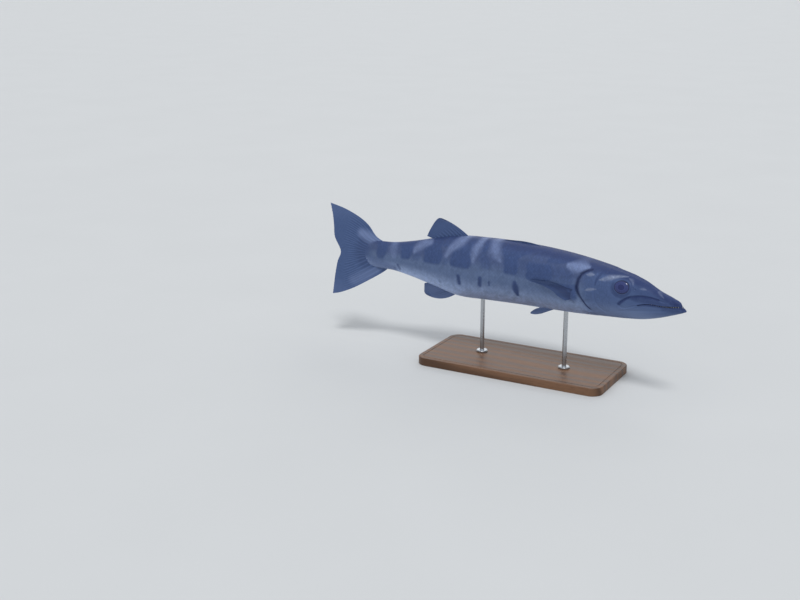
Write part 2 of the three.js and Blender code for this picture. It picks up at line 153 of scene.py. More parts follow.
def near_line(line, behind, z, pieces=22):
    """For points in side view: distance to a smooth line, which side of it, and the line's values there."""
    ends = spline(line, np.linspace(0, 1, pieces + 1))
    best = np.full(np.shape(behind), np.inf)
    side = np.zeros_like(best)
    values = np.zeros(best.shape + (ends.shape[1] + 1,))
    for k, (start, end) in enumerate(zip(ends, ends[1:])):
        run = end - start
        dx, dz = behind - start[0], z - start[1]
        t = np.clip((dx * run[0] + dz * run[1]) / (run[0] ** 2 + run[1] ** 2), 0, 1)
        distance = np.hypot(dx - t * run[0], dz - t * run[1])
        closer = distance < best
        best = np.where(closer, distance, best)
        side = np.where(closer, np.sign(run[0] * dz - run[1] * dx), side)
        here = np.concatenate([start + t[..., None] * run, ((k + t) / pieces)[..., None]], -1)
        values = np.where(closer[..., None], here, values)
    return best, side, values


# Lines of the head in side view, as [behind, z]
GAPE = np.array([
    [-6, -5], [4, -4.6], [15, -4.2], [30, -5.8], [50, -7.2], [72, -7], [90, -10.2], [102, -14.5],
    [125, -19], [160, -14], [220, -6], [320, -2], [800, 0],
])
MOUTH_FRONT, MOUTH_CORNER = 10.6, 102
GAPE_HALF = np.array([
    [0, 0.3], [9, 0.35], [13, 0.75], [60, 0.65], [95, 0.4], [104, 0.3], [128, 2.2], [800, 5],
])
GILL_SLIT = np.array([
    [198, 90], [207, 56], [216, 44], [231.5, 32], [235.5, 14], [235.5, -2], [230.5, -10], [219, -28],
    [210, -41], [201, -50], [190, -58], [178, -90],
])
MAXILLA_TOP = [
    [139.5, -17], [136, -12], [130, -7], [123, -2.5], [115, 1.5], [106, 4.5], [94, 6.5], [80, 7], [64, 5.5],
    [48, 2.8], [34, 0],
]
MAXILLA_REAR = [[139.5, -17], [137.5, -22], [128, -24], [114, -19.5], [103, -15]]
JAW_GROOVE = [[150, -37], [128, -30], [104, -26.5], [76, -22], [48, -17], [26, -12.5]]
JAW_LIP = [[104, -19], [84, -13.5], [60, -11], [36, -9.6], [16, -8]]
CHEEK_EDGE = [[182, 42], [190, 30], [194, 14], [194, -4], [190, -20], [181, -33], [166, -42], [150, -47]]
CHEEK_RIM = [[176, 36], [183, 24], [186, 10], [186, -6], [182, -19], [173, -30], [160, -38]]
COVER_SEAM = [[194, -15], [203, -21], [212, -24.5], [219, -24]]
LOWER_SEAM = [[186, -36], [193, -41], [202, -43], [208, -40]]
UNDER_EYE = [[159, 12], [152, 1.5], [140, -4], [126, -3.5], [114, 3], [108, 12]]
BROW = [[158, 31], [148, 36.5], [136, 38.5], [124, 36], [113, 29]]
TEMPLE = [[156, 35.5], [172, 39.5], [190, 42.5], [207, 45]]
SNOUT_RIDGE = [[110, 29], [90, 21.5], [70, 14.5], [48, 8.8], [30, 4.8]]
FOREHEAD = [[172, 46], [150, 43], [124, 37.5], [96, 29], [66, 17.5]]
EYE = {"behind": 135.5, "z": 19.7, "along": 18, "high": 14.5, "deep": 6.5, "proud": 3.3}
EYE_OPENING = (15.8, 12.9)
NOSTRILS = ((107, 19, 1.4), (112, 21.5, 1.0))
FLAP_MIDDLE = 224
FLAP_LOW, FLAP_HIGH = -54, 48
SLIT_DEPTH, FIN_SWELLING = 3.0, 2.2
EYE_RIM, SOCKET_DEPTH = 0.9, 3.4
NOSTRIL_RIM, NOSTRIL_DEPTH = 0.45, 1.6
CROWN_RIDGES, CROWN_GROOVE = 0.25, 0.6
THROAT_FOLD, FOLD_SPACING = 0.55, 7.5
CHIN_GROOVE, LIP_SWELLING, COVER_SWELLING = 0.7, 0.45, 0.5


def slit_at(z):
    """Where the free edge of the gill cover lies at a height."""
    line = spline(GILL_SLIT, np.linspace(0, 1, 80))[::-1]
    return np.interp(np.clip(z, FLAP_LOW, FLAP_HIGH), line[:, 1], line[:, 0])


def flap(z):
    """How free the gill cover's edge is at a height: 0 where it is grown to the body."""
    return soft(FLAP_LOW, FLAP_LOW + 12, z) * soft(FLAP_HIGH, FLAP_HIGH - 9, z)


def eye_ring(behind, z):
    """Distance from the middle of the eye, with 1 at the opening in the skin."""
    return np.hypot((behind - EYE["behind"]) / EYE_OPENING[0], (z - EYE["z"]) / EYE_OPENING[1])


# Where each pectoral fin is rooted, as [behind, z]: the skin swells over it and carries no scales
FIN_SHOULDER = [[241, -1], [243.5, -13], [246, -25]]


def body_relief(behind, z):
    """Height of the trunk's skin above the plain body: the dip behind the gill slit, the fins' roots."""
    past = behind - slit_at(z)
    dip = SLIT_DEPTH * flap(z) * np.exp(-np.maximum(past - 3, 0) / 7) * (past > 0)
    near = behind < 275
    swelling = np.zeros(np.shape(behind))
    swelling[near] = np.exp(-(near_line(FIN_SHOULDER, behind[near], z[near], 6)[0] / 4.5) ** 2)
    return FIN_SWELLING * swelling * (past > 2) - dip


# Each crease of the head: its line, how deep, how wide, and the height of the plate edge beside it
CREASES = (
    (MAXILLA_TOP, 1.35, 1.5, 0.6), (MAXILLA_REAR, 0.8, 1.3, 0.4), (JAW_GROOVE, 0.55, 1.8, 0.0),
    (JAW_LIP, 0.45, 1.4, 0.0), (CHEEK_EDGE, 0.9, 1.3, -0.45), (CHEEK_RIM, 0.25, 1.6, 0.0),
    (COVER_SEAM, 0.55, 1.2, 0.2), (LOWER_SEAM, 0.5, 1.2, 0.2), (UNDER_EYE, 0.4, 1.8, 0.0),
    (BROW, -0.8, 2.2, 0.0), (TEMPLE, -0.6, 2.4, 0.0), (SNOUT_RIDGE, -0.3, 2.6, 0.0),
    (FOREHEAD, 0.35, 2.2, 0.0),
)


def head_relief(behind, y, z, girth):
    """Height of the skin of the head above the plain body. girth is the way round from the belly."""
    height = np.zeros_like(behind)
    for line, depth, width, plate in CREASES:
        distance, side, values = near_line(line, behind, z)
        share = values[..., -1]
        ends = soft(0, 0.12, share) * soft(1, 0.88, share)
        height -= depth * ends * np.exp(-(distance / width) ** 2)
        height += plate * ends * side * np.exp(-distance / 5) * soft(0, 1.2, distance)
    ring = eye_ring(behind, z)
    height += EYE_RIM * np.exp(-((ring - 1.13) / 0.1) ** 2) - SOCKET_DEPTH * soft(1.04, 0.72, ring)
    for at, level, radius in NOSTRILS:
        distance = np.hypot(behind - at, z - level)
        height += NOSTRIL_RIM * np.exp(-((distance - 1.7 * radius) / 0.8) ** 2)
        height -= NOSTRIL_DEPTH * np.exp(-(distance / radius) ** 2)
    crown = soft(28, 60, behind) * soft(225, 170, behind) * (z > 0)
    height += crown * CROWN_RIDGES * np.exp(-((np.abs(y) - 8) / 4) ** 2)
    height -= crown * CROWN_GROOVE * np.exp(-(y / 5) ** 2)
    throat = soft(78, 110, behind) * soft(214, 190, behind) * soft(46, 34, girth) * soft(2, 6, girth)
    height -= throat * THROAT_FOLD * np.cos(girth * 2 * math.pi / FOLD_SPACING) ** 8
    chin = soft(20, 40, behind) * soft(150, 110, behind)
    height -= chin * CHIN_GROOVE * np.exp(-((girth - 5) / 1.6) ** 2)
    lips = soft(12, 20, behind) * soft(MOUTH_CORNER + 4, MOUTH_CORNER - 10, behind)
    from_gape = np.abs(z - through(GAPE, 1, behind)) - through(GAPE_HALF, 1, behind)
    height += lips * LIP_SWELLING * np.exp(-((from_gape - 1.2) / 1.1) ** 2)
    edge = slit_at(z) - behind
    height += COVER_SWELLING * flap(z) * np.exp(-np.maximum(edge, 0) / 12) * (edge > -0.1)
    return height


# Rows round one side from belly to back, in three bands: below, in and above the mouth
LOWER_ROWS, MOUTH_ROWS, UPPER_ROWS = 34, 8, 62
ROWS = LOWER_ROWS + MOUTH_ROWS + UPPER_ROWS + 1
POCKET_DEPTH = 9
PLACES = np.unique(np.r_[0:30:0.25, 30:250:1.0, 250:BODY_END + 0.1:2.5])
ANGLES = np.radians(np.linspace(-90, 90, 361))


def half_rings(behind):
    """One side's outline at each place, belly to back: y, z and the way round."""
    top, bottom, half, square = (value[:, None] for value in section(behind))
    middle = (top + bottom) / 2
    rising = ANGLES > 0
    power = 2 / np.where(rising, square, LOWER_SQUARENESS)
    y = half * np.clip(np.cos(ANGLES), 0, 1) ** power
    reach = np.where(rising, top - middle, middle - bottom)
    z = middle + reach * np.sign(ANGLES) * np.abs(np.sin(ANGLES)) ** power
    way = np.hypot(np.diff(y), np.diff(z)).cumsum(1)
    return y, z, np.concatenate([np.zeros((len(behind), 1)), way], 1)


ring_y, ring_z, ring_way = half_rings(PLACES)
ring_top, ring_bottom = section(PLACES)[:2]
gape_high = np.minimum(
    through(GAPE, 1, PLACES) + through(GAPE_HALF, 1, PLACES), ring_top - 0.15 * (ring_top - ring_bottom)
)
gape_low = gape_high - 2 * through(GAPE_HALF, 1, PLACES)
row_y, row_z, row_way = (np.zeros((len(PLACES), ROWS)) for _ in range(3))
for i in range(len(PLACES)):
    low, high = np.interp([gape_low[i], gape_high[i]], ring_z[i], ring_way[i])
    row_way[i] = np.r_[
        np.linspace(0, low, LOWER_ROWS + 1),
        np.linspace(low, high, MOUTH_ROWS + 1)[1:],
        np.linspace(high, ring_way[i, -1], UPPER_ROWS + 1)[1:],
    ]
    row_y[i] = np.interp(row_way[i], ring_way[i], ring_y[i])
    row_z[i] = np.interp(row_way[i], ring_way[i], ring_z[i])


def at_rows(table, behind):
    """A table of rows, read at each row's own place."""
    return np.stack([np.interp(behind[:, j], PLACES, table[:, j]) for j in range(ROWS)], 1)


# Rings along the fish: close on the head, and doubled under at the free edge of the gill cover.
# Columns of FLAP_RINGS: place after the edge, how far it is pushed along, and how far out
STRETCHES = (
    (0.15, MOUTH_FRONT, 0.65), (MOUTH_FRONT, 22, 0.85), (22, 104, 1.3), (104, 162, 0.9), (162, 221, 1.25),
)
FLAP_RINGS = (
    (-1.8, 0, 0.1), (-0.8, 0, 0.2), (0, 0, 0), (0.3, 0.1, -0.5), (0.6, -0.8, -1.1), (0.9, -2.6, -1.8),
    (1.3, -3.6, -2.8), (1.8, -2.0, -3.6), (2.5, -0.4, -3.5), (3.4, 0, -3.1),
)
TRUNK_RING_STEP = 3.3
head_rings = np.concatenate([np.arange(start, end, step) for start, end, step in STRETCHES])
flap_rings = np.array([at for at, _, _ in FLAP_RINGS]) + FLAP_MIDDLE
trunk_rings = np.r_[
    FLAP_MIDDLE + 4.6:FLAP_MIDDLE + 24:1.4, FLAP_MIDDLE + 26:BODY_END - 1:TRUNK_RING_STEP, BODY_END
]
ring_place = np.r_[head_rings, flap_rings, trunk_rings]
pushed, sunk = (np.zeros(len(ring_place)) for _ in range(2))
flap_slice = slice(len(head_rings), len(head_rings) + len(flap_rings))
pushed[flap_slice] = [push for _, push, _ in FLAP_RINGS]
sunk[flap_slice] = [out for _, _, out in FLAP_RINGS]
FLAP_PULL = (120, 330)

# Rings near the gill slit follow its line, so that the cover's edge is one clean ring
pull = np.where(
    ring_place < FLAP_MIDDLE,
    soft(FLAP_PULL[0], FLAP_MIDDLE, ring_place),
    soft(FLAP_PULL[1], FLAP_MIDDLE + 4, ring_place),
)[:, None]
behind = ring_place[:, None] + np.zeros(ROWS)
for _ in range(3):
    level = at_rows(row_z, slit_at(at_rows(row_z, behind)))
    behind = ring_place[:, None] + pull * (slit_at(level) - FLAP_MIDDLE)
behind = np.clip(behind, 0, BODY_END)


def base_points(places):
    """Points of the plain body in each row, at places along it."""
    return np.stack([-places, at_rows(row_y, places), at_rows(row_z, places)], -1)


base = base_points(behind)
girth = at_rows(row_way, behind)
STEP = 0.7
along = base_points(np.clip(behind - STEP, 0, BODY_END)) - base_points(np.clip(behind + STEP, 0, BODY_END))
around = np.gradient(base, axis=1)
outward = np.cross(along, around)
outward[:, [0, -1], 1] = 0
outward[:, 0] = np.where(outward[:, :1, 2] > 0, -1, 1)[..., None][:, 0] * outward[:, 0]
outward /= np.linalg.norm(outward, axis=-1, keepdims=True)
centre_z = (section(behind)[0] + section(behind)[1]) / 2
facing = outward[..., 1] * base[..., 1] + outward[..., 2] * (base[..., 2] - centre_z)
outward *= np.where(facing < 0, -1, 1)[..., None]

SKIN_INSET, SNOUT_SLIMMING = 0.45, 0.42
places, heights = -base[..., 0], base[..., 2]
free = flap(heights)
relief = body_relief(places, heights)
on_head = ring_place < FLAP_MIDDLE + 6
relief[on_head] = head_relief(places[on_head], base[on_head, :, 1], heights[on_head], girth[on_head])
past_edge = (ring_place > FLAP_MIDDLE + 3.5)[:, None]
relief = np.where(past_edge, body_relief(places, heights), relief) + sunk[:, None] * free
relief -= SKIN_INSET * soft(2, 20, places)
skin = base + outward * relief[..., None]
skin[..., 0] -= pushed[:, None] * free


def slimming(behind):
    """How much narrower the tip of the upper jaw is than the lower jaw under it."""
    return SNOUT_SLIMMING * soft(26, 10, behind)


# The snout narrows above the gape, and the mouth is a pocket between the lips
lip_height = through(GAPE, 1, places)
skin[..., 1] *= 1 - slimming(places) * soft(-0.5, 0.8, heights - lip_height)
across_gape = np.clip((np.arange(ROWS) - LOWER_ROWS) / MOUTH_ROWS * 2 - 1, -1, 1)
depth = np.minimum(POCKET_DEPTH, section(places)[2] - 1.2) * soft(MOUTH_FRONT, MOUTH_FRONT + 2.4, places)
depth *= soft(MOUTH_CORNER + 1, MOUTH_CORNER - 17, places)
pocket = (1 - across_gape ** 2) ** 0.8
skin[..., 1] = np.maximum(skin[..., 1] - depth * pocket, 0.15 * (skin[..., 1] > 0))
skin[:, [0, -1], 1] = 0


# Markings, in side view, with some painted light and shade among them. A patch has rows of [z, its rear
# edge, its front edge, strength]
BAR_PATCHES_AND_FIN_SHADOW = (
    [[-11, 759, 742, 0.8], [4, 766, 736, 0.9], [26, 765, 736, 0.9], [90, 762, 738, 0.8]],
    [[0, 696, 673, 0.9], [20, 700, 667, 0.95], [37, 699, 664, 0.95], [43, 696, 648, 0.9],
     [90, 690, 640, 0.9]],
    [[-1, 666, 646, 0.4], [20, 666, 643, 0.45]],
    [[0, 633, 590, 0.95], [12, 636, 586, 1], [30, 633, 586, 1], [38, 622, 588, 0.95], [90, 612, 590, 0.9]],
    [[0, 585, 568, 0.4], [20, 582, 567, 0.45]],
    [[41, 580, 574, 0.7], [46, 590, 567, 0.75], [52, 589, 560, 0.75], [62, 584, 553, 0.7],
     [90, 576, 550, 0.7]],
    [
        [2, 559, 513, 0.9], [12, 564, 510, 1], [21, 563, 510, 1], [31, 556, 508, 1], [41, 546, 505, 0.95],
        [50, 532, 501, 0.8], [60, 525, 497, 0.75], [90, 516, 493, 0.75],
    ],
    [[10, 482, 459, 0.45], [26, 485, 458, 0.55], [38, 485, 467, 0.6], [46, 484, 471, 0.85],
     [90, 483, 462, 0.9]],
    [[5, 419, 391, 0.9], [13, 424, 387, 1], [40, 425, 386, 1], [48, 430, 376, 0.95], [54, 435, 364, 0.95],
     [90, 436, 360, 0.95]],
    [[41, 372, 325, 0.22], [90, 366, 321, 0.38]], [[3, 420, 250, 0.4], [38, 424, 250, 0.4]],
    [[-3, 352, 344, 0.6], [4, 365, 308, 0.9], [12, 370, 300, 1], [30, 368, 300, 1], [39, 360, 304, 0.9]],
    [[40, 317, 292, 0.8], [47, 319, 274, 0.95], [57, 318, 266, 0.95], [90, 314, 262, 0.9]],
    [[-2, 342, 250, 0.5], [14, 330, 248, 0.55], [30, 300, 256, 0.55], [36, 298, 264, 0.4]],
    # Painted shadow of the pectoral fin, on the flank round and under the fin
    [[-25, 262, 244, 0.5], [-18, 282, 238, 0.85], [-6, 296, 234, 0.95], [9, 290, 236, 0.8]],
)
PATCH_EDGE = 4.6
# A stroke is a smooth line of [behind, z, half width], and its strength
BLOTCHES = (
    ([[540, -17, 4.6], [538.5, -34, 4.6]], 0.9), ([[483.5, -14, 5], [485, -30, 5]], 0.9),
    ([[460, -19, 2.8], [460, -27, 2.4]], 0.75),
    ([[393, -10, 4.5], [391.5, -20, 8.5], [390, -30, 7.5], [388, -38, 4]], 1.0),
    ([[592, -36, 3], [592, -40, 3]], 0.3), ([[706, -16, 3.4], [702, -25, 4]], 0.6),
)
# Pale strokes: the pale gaps in the markings, and one painted highlight on the nape
PALE_GAPS_AND_NAPE_HIGHLIGHT = (
    ([[661, 21, 4], [655, 30, 7], [642, 39, 8], [622, 47, 6]], 0.8),
    ([[574, 24, 4], [564, 41, 7], [546, 56, 10], [534, 72, 10]], 0.9),
    ([[503, 22, 4], [502, 41, 9], [496, 57, 8], [489, 72, 6]], 0.85),
    ([[460, 72, 10], [452, 52, 11], [442, 40, 8], [434, 32, 4]], 0.65),
    ([[716, 2, 5], [718, 14, 9], [718, 30, 8]], 0.55), ([[768, 36, 4], [786, 32, 9]], 0.6),
    # Painted highlight on the nape, above the gill cover
    ([[267, 45, 4], [254, 44.5, 8.5], [240, 44, 9.8], [228, 45.5, 7], [219, 46.5, 3]], 1.0),
)
TAIL_ROOT_SHADES = (
    ([[806, 24, 14], [802, 0, 18], [804, -22, 16]], 0.7),
    ([[716, -27, 8], [744, -26, 13], [768, -24, 15], [800, -20, 16]], 0.65),
)
# Painted highlights: pale silvery strokes for the sheen on the cheek, gill cover, brow and snout
HEAD_HIGHLIGHTS = (
    ([[187, 27, 0.5], [177, 30, 3.2], [166, 34, 4.4], [155, 37, 3.2], [143, 39.5, 2], [130, 40, 0.5]], 0.7),
    ([[218, 33.5, 0.5], [209, 35, 3.4], [200, 35.5, 0.8]], 0.65),
    ([[126, 37.5, 0.8], [118, 34, 2.2], [113, 27, 0.8]], 0.3),
    ([[216, 1, 0.5], [208, 4, 3], [197, 6.5, 2], [189, 7.5, 0.5]], 0.6),
    ([[98, 21.5, 0.5], [91, 22, 2], [84, 21, 0.5]], 0.35),
    ([[64, 20, 0.5], [55, 15, 1.4], [46, 10, 0.5]], 0.25),
)
# Dark paint of the head, with painted shade in its creases and round the eye socket
DARK_HEAD_AND_CREASE_SHADE = (
    ([[122, 0, 2], [104, 1, 6], [80, 0, 8], [56, -2, 8], [34, -4, 7]], 0.6),
    # Painted shade in the groove along the top of the maxilla
    ([[139, -16, 3.2], [131, -8.5, 2.8], [124, -3, 2.6], [115, 1.5, 2.8], [97, 5.6, 3.2], [80, 7, 3.4],
      [56, 4.5, 3]], 0.95),
    # Painted shade along the slit of the mouth
    ([[98, -13, 1.4], [84, -9, 2], [66, -7.5, 2.4], [42, -6.8, 2.6], [14, -5, 2.4]], 0.9),
    ([[4, -9, 6], [24, -8, 8], [42, -9, 7]], 0.5),
    ([[20, 4, 7], [60, 18, 8], [84, 29, 10], [104, 36, 10], [122, 42, 8]], 0.9),
    ([[38, 5, 6], [66, 12, 8], [95, 18, 9], [112, 24, 8]], 0.35),
    ([[118, 42, 7], [142, 47, 9], [176, 53, 11], [216, 61, 12]], 0.9),
    ([[4, -7, 5], [14, -1, 6], [28, 4, 7]], 0.95),
    # Painted shade round the eye socket
    ([[154, 24, 4], [153, 13, 5], [146, 4, 5], [134, 1, 4], [121, 7, 3], [116, 20, 3], [120, 32, 4]], 0.5),
    # The first stroke here is painted shade in the groove at the cheek's edge
    ([[187, 40, 3], [192, 29, 3], [194, 16, 1.5]], 0.5), ([[200, 41, 4], [222, 41, 3]], 0.4),
)
SLIT_SHADE = ([[
    [209, 44, 2], [219, 41, 3], [228, 35, 3.4], [233.5, 26, 3.8], [236.5, 12, 5], [236, -2, 5],
    [230, -10.5, 3.2],
    [224, -20, 2.8], [215, -33, 2.4], [206, -41, 1.4],
], 0.9],)
WAVER = 2.0


def patches(shapes, behind, z):
    """How strongly a set of painted patches covers each point, 0 to 1."""
    cover = np.zeros_like(behind)
    for rows in shapes:
        level, rear, front, strength = np.array(rows, float).T
        from_rear, from_front = np.interp(z, level, rear) - behind, behind - np.interp(z, level, front)
        inside = soft(-PATCH_EDGE, PATCH_EDGE, from_rear) * soft(-PATCH_EDGE, PATCH_EDGE, from_front)
        inside *= soft(-PATCH_EDGE, PATCH_EDGE, z - level[0]) * soft(-PATCH_EDGE, PATCH_EDGE, level[-1] - z)
        cover = np.maximum(cover, np.interp(z, level, strength) * inside)
    return cover


def strokes(lines, behind, z, softness):
    """How strongly a set of painted strokes covers each point, 0 to 1."""
    cover = np.zeros_like(behind)
    for line, strength in lines:
        distance, _, values = near_line(line, behind, z, 8)
        width = np.maximum(values[..., 2], 0.3)
        cover = np.maximum(cover, strength * soft(width * (1 + softness), width * (1 - softness), distance))
    return cover


def markings(behind, z, side):
    """The painted masks at each point of one side: the two sides differ a little, as they do in life."""
    top, bottom = section(np.clip(behind, 0, BODY_END))[:2]
    waver = WAVER * (np.sin(z / 7 + side) + 0.6 * np.sin(behind / 13 + z / 17 + 2 * side))
    moved = 5 * np.sin(behind / 60) * soft(230, 300, behind) if side > 0 else 0
    fade = soft(226, 238, behind)
    up = z / np.maximum(top, 1)
    bars = patches(BAR_PATCHES_AND_FIN_SHADOW, behind + waver * fade + moved, z + waver) * fade
    return {
        "belly": soft(-0.18, -0.95, z / -bottom) * soft(20, 120, behind),
        "back": soft(0.0, 0.5, up),
        "ridge": soft(0.68, 0.96, up) * soft(2, 14, behind) * (1 - 0.45 * soft(400, 480, behind)),
        "head": soft(236, 205, behind) * (0.6 + 0.4 * soft(-34, 6, z)),
        # Dark paint of the crown and face, with painted shade in the head's creases and round the eye socket
        "crown": strokes(DARK_HEAD_AND_CREASE_SHADE, behind, z, 0.7) * soft(236, 205, behind),
        # The dark bands, with the painted shadow of the pectoral fin among them
        "bars": np.maximum(bars, strokes(TAIL_ROOT_SHADES, behind, z, 0.8)),
        "blotch": strokes(BLOTCHES, behind + moved, z, 0.5),
        "bright": strokes(PALE_GAPS_AND_NAPE_HIGHLIGHT, behind + moved, z, 0.8),
        # Painted highlights on the head
        "silver": strokes(HEAD_HIGHLIGHTS, behind, z, 0.9),
        "slit": strokes(SLIT_SHADE, behind, z, 0.8),
    }


def put_attribute(mesh, name, values):
    """A named value for each point of a mesh."""
    layer = mesh.attributes.new(name, "FLOAT", "POINT")
    layer.data.foreach_set("value", np.asarray(values, np.float32).ravel())


def volume(points, faces):
    """Signed volume of a closed mesh, positive where its faces look out."""
    total = 0.0
    for face in faces:
        a = points[face[:, 0]]
        for k in range(1, face.shape[1] - 1):
            total += np.einsum("ij,ij->", a, np.cross(points[face[:, k]], points[face[:, k + 1]]))
    return total / 6


def tube_faces(loops, around):
    """Four-sided faces between equal closed loops of points that follow one another."""
    loop, k = np.meshgrid(np.arange(loops - 1), np.arange(around), indexing="ij")
    here, after = loop * around + k, loop * around + (k + 1) % around
    return np.stack([here, after, after + around, here + around], -1).reshape(-1, 4)


def make_piece(name, points, faces, material, uv=None, smooth=True, sharp=None):
    """An object from points in metres and lists of equal-sided faces, turned to look outwards."""
    if volume(points, faces) < 0:
        faces = [face[:, ::-1] for face in faces]
        uv = None if uv is None else [corners[:, ::-1] for corners in uv]
    mesh = bpy.data.meshes.new(name)
    mesh.from_pydata(points.tolist(), [], [row for face in faces for row in face.tolist()])
    mesh.polygons.foreach_set("use_smooth", [smooth] * len(mesh.polygons))
    if sharp is not None:
        mesh.set_sharp_from_angle(angle=math.radians(sharp))
    if uv is not None:
        layer = mesh.uv_layers.new(name="OFBake")
        layer.data.foreach_set("uv", np.concatenate([corners.reshape(-1) for corners in uv]))
    mesh.materials.append(material)
    piece = bpy.data.objects.new(name, mesh)
    bpy.context.scene.collection.objects.link(piece)
    return piece


def linear(code):
    """An sRGB hex colour as the linear colour that the shaders take."""
    levels = [int(code[k:k + 2], 16) / 255 for k in (1, 3, 5)]
    return tuple(c / 12.92 if c <= 0.04045 else ((c + 0.055) / 1.055) ** 2.4 for c in levels) + (1,)


def add(tree, kind, settings=None, out=None, **sockets):
    """Adds a node with its settings, and its inputs by identifier as values or links. Gives an output."""
    made = tree.nodes.new(kind)
    for name, value in (settings or {}).items():
        setattr(made, name, value)
    for name, value in sockets.items():
        fits = (s for s in made.inputs if s.enabled and name in (s.identifier, s.name.replace(" ", "_")))
        socket = next(fits)
        if isinstance(value, bpy.types.NodeSocket):
            tree.links.new(value, socket)
        else:
            socket.default_value = value
    return made.outputs[out] if out else next((s for s in made.outputs if s.enabled), None)


def new_material(name):
    """An empty material and its tree of nodes."""
    material = bpy.data.materials.new(name)
    material.use_nodes = True
    material.node_tree.nodes.clear()
    return material, material.node_tree


# Paint of the fish, sprayed thin over silver: mask, colour, and how much the noise breaks it up
SILVER_GROUND = ("#57698d", "#66789b")
# Some coats hold painted light: the pale strokes on the head are painted highlights, the coat at the gill
# slit is painted shade, and the bright, crown and bar coats carry a painted nape highlight, painted crease
# shade and a painted fin shadow among real markings
COATS = (
    ("belly", "#a6b9e0", 0.3), ("back", "#4c5b82", 0.25), ("head", "#4b5e88", 0.15),
    ("crown", "#283660", 0.15),
    ("bars", "#40537f", 0.2), ("ridge", "#31406b", 0.2), ("blotch", "#394a75", 0.15),
    ("bright", "#7181a9", 0.25),
    ("silver", "#8590ab", 0.5), ("slit", "#1c2850", 0.15),
)
MOUTH_DARK = "#10131f"
MOTTLE_SIZE, GRAIN_SIZE = 11, 1.4
PORE_SPACING, CREASE_SPACING = 0.9, 3.2
DARK_DULLING, DARK_SILVERING = 0.25, 0.05


def fish_colour(tree, coats=COATS):
    """The paint's colour, from the masks that a piece carries."""
    place = add(tree, "ShaderNodeTexCoord", out="Object")
    mottle, grain = (
        add(tree, "ShaderNodeTexNoise", out="Fac", Vector=place, Scale=1 / (size * MM), Detail=detail)
        for size, detail in ((MOTTLE_SIZE, 4.0), (GRAIN_SIZE, 2.0))
    )
    speck = add(tree, "ShaderNodeMath", {"operation": "ADD"}, Value=mottle, Value_001=grain)
    colour = add(
        tree, "ShaderNodeMix", {"data_type": "RGBA"},
        Factor_Float=mottle, A_Color=linear(SILVER_GROUND[0]), B_Color=linear(SILVER_GROUND[1]),
    )
    for mask, code, breakup in coats:
        covered = add(tree, "ShaderNodeAttribute", {"attribute_name": mask}, out="Fac")
        spread = add(
            tree, "ShaderNodeMapRange", Value=speck,
            From_Min=0.7, From_Max=1.3, To_Min=1 - breakup, To_Max=1 + breakup,
        )
        factor = add(
            tree, "ShaderNodeMath", {"operation": "MULTIPLY", "use_clamp": True},
            Value=covered, Value_001=spread,
        )
        colour = add(
            tree, "ShaderNodeMix", {"data_type": "RGBA"},
            Factor_Float=factor, A_Color=colour, B_Color=linear(code),
        )
    return colour, mottle


def dark_back_finish(tree, gloss, silvering):
    """Roughness and silvering: the thick dark paint of the back and crown is matt and hides the silver."""
    ridge, crown = (
        add(tree, "ShaderNodeAttribute", {"attribute_name": name}, out="Fac") for name in ("ridge", "crown")
    )
    dark = add(tree, "ShaderNodeMath", {"operation": "MAXIMUM"}, Value=ridge, Value_001=crown)
    dull = add(
        tree, "ShaderNodeMath", {"operation": "MULTIPLY_ADD"},
        Value=dark, Value_001=DARK_DULLING, Value_002=gloss,
    )
    shown = add(tree, "ShaderNodeMapRange", Value=dark, To_Min=silvering, To_Max=DARK_SILVERING)
    return dull, shown


# Lacquered cast skin over a silver ground: satin, a little metallic, with fine creases and pores
skin_lacquer, tree = new_material("lacquered_cast_skin")
colour, mottle = fish_colour(tree, COATS + (("mouth", MOUTH_DARK, 0.0),))
place = add(tree, "ShaderNodeTexCoord", out="Object")
pores = add(
    tree, "ShaderNodeTexNoise", out="Fac", Vector=place, Scale=1 / (PORE_SPACING * MM), Detail=3.0
)
creases = add(
    tree, "ShaderNodeTexVoronoi", {"feature": "DISTANCE_TO_EDGE"}, out="Distance",
    Vector=place, Scale=1 / (CREASE_SPACING * MM),
)
crease_step = add(tree, "ShaderNodeMath", {"operation": "MINIMUM"}, Value=creases, Value_001=0.08)
relief_mix = add(
    tree, "ShaderNodeMath", {"operation": "MULTIPLY_ADD"}, Value=crease_step, Value_001=3.0, Value_002=pores
)
bump = add(tree, "ShaderNodeBump", Strength=0.4, Distance=0.5 * MM, Height=relief_mix)
gloss = add(tree, "ShaderNodeMapRange", Value=mottle, From_Min=0.3, From_Max=0.7, To_Min=0.36, To_Max=0.5)
dull, silvering = dark_back_finish(tree, gloss, 0.3)
add(tree, "ShaderNodeOutputMaterial", Surface=add(
    tree, "ShaderNodeBsdfPrincipled", Base_Color=colour, Roughness=dull, Normal=bump,
    Metallic=silvering, IOR=1.42, Specular_IOR_Level=0.25, Coat_Weight=0.05, Coat_Roughness=0.25,
))

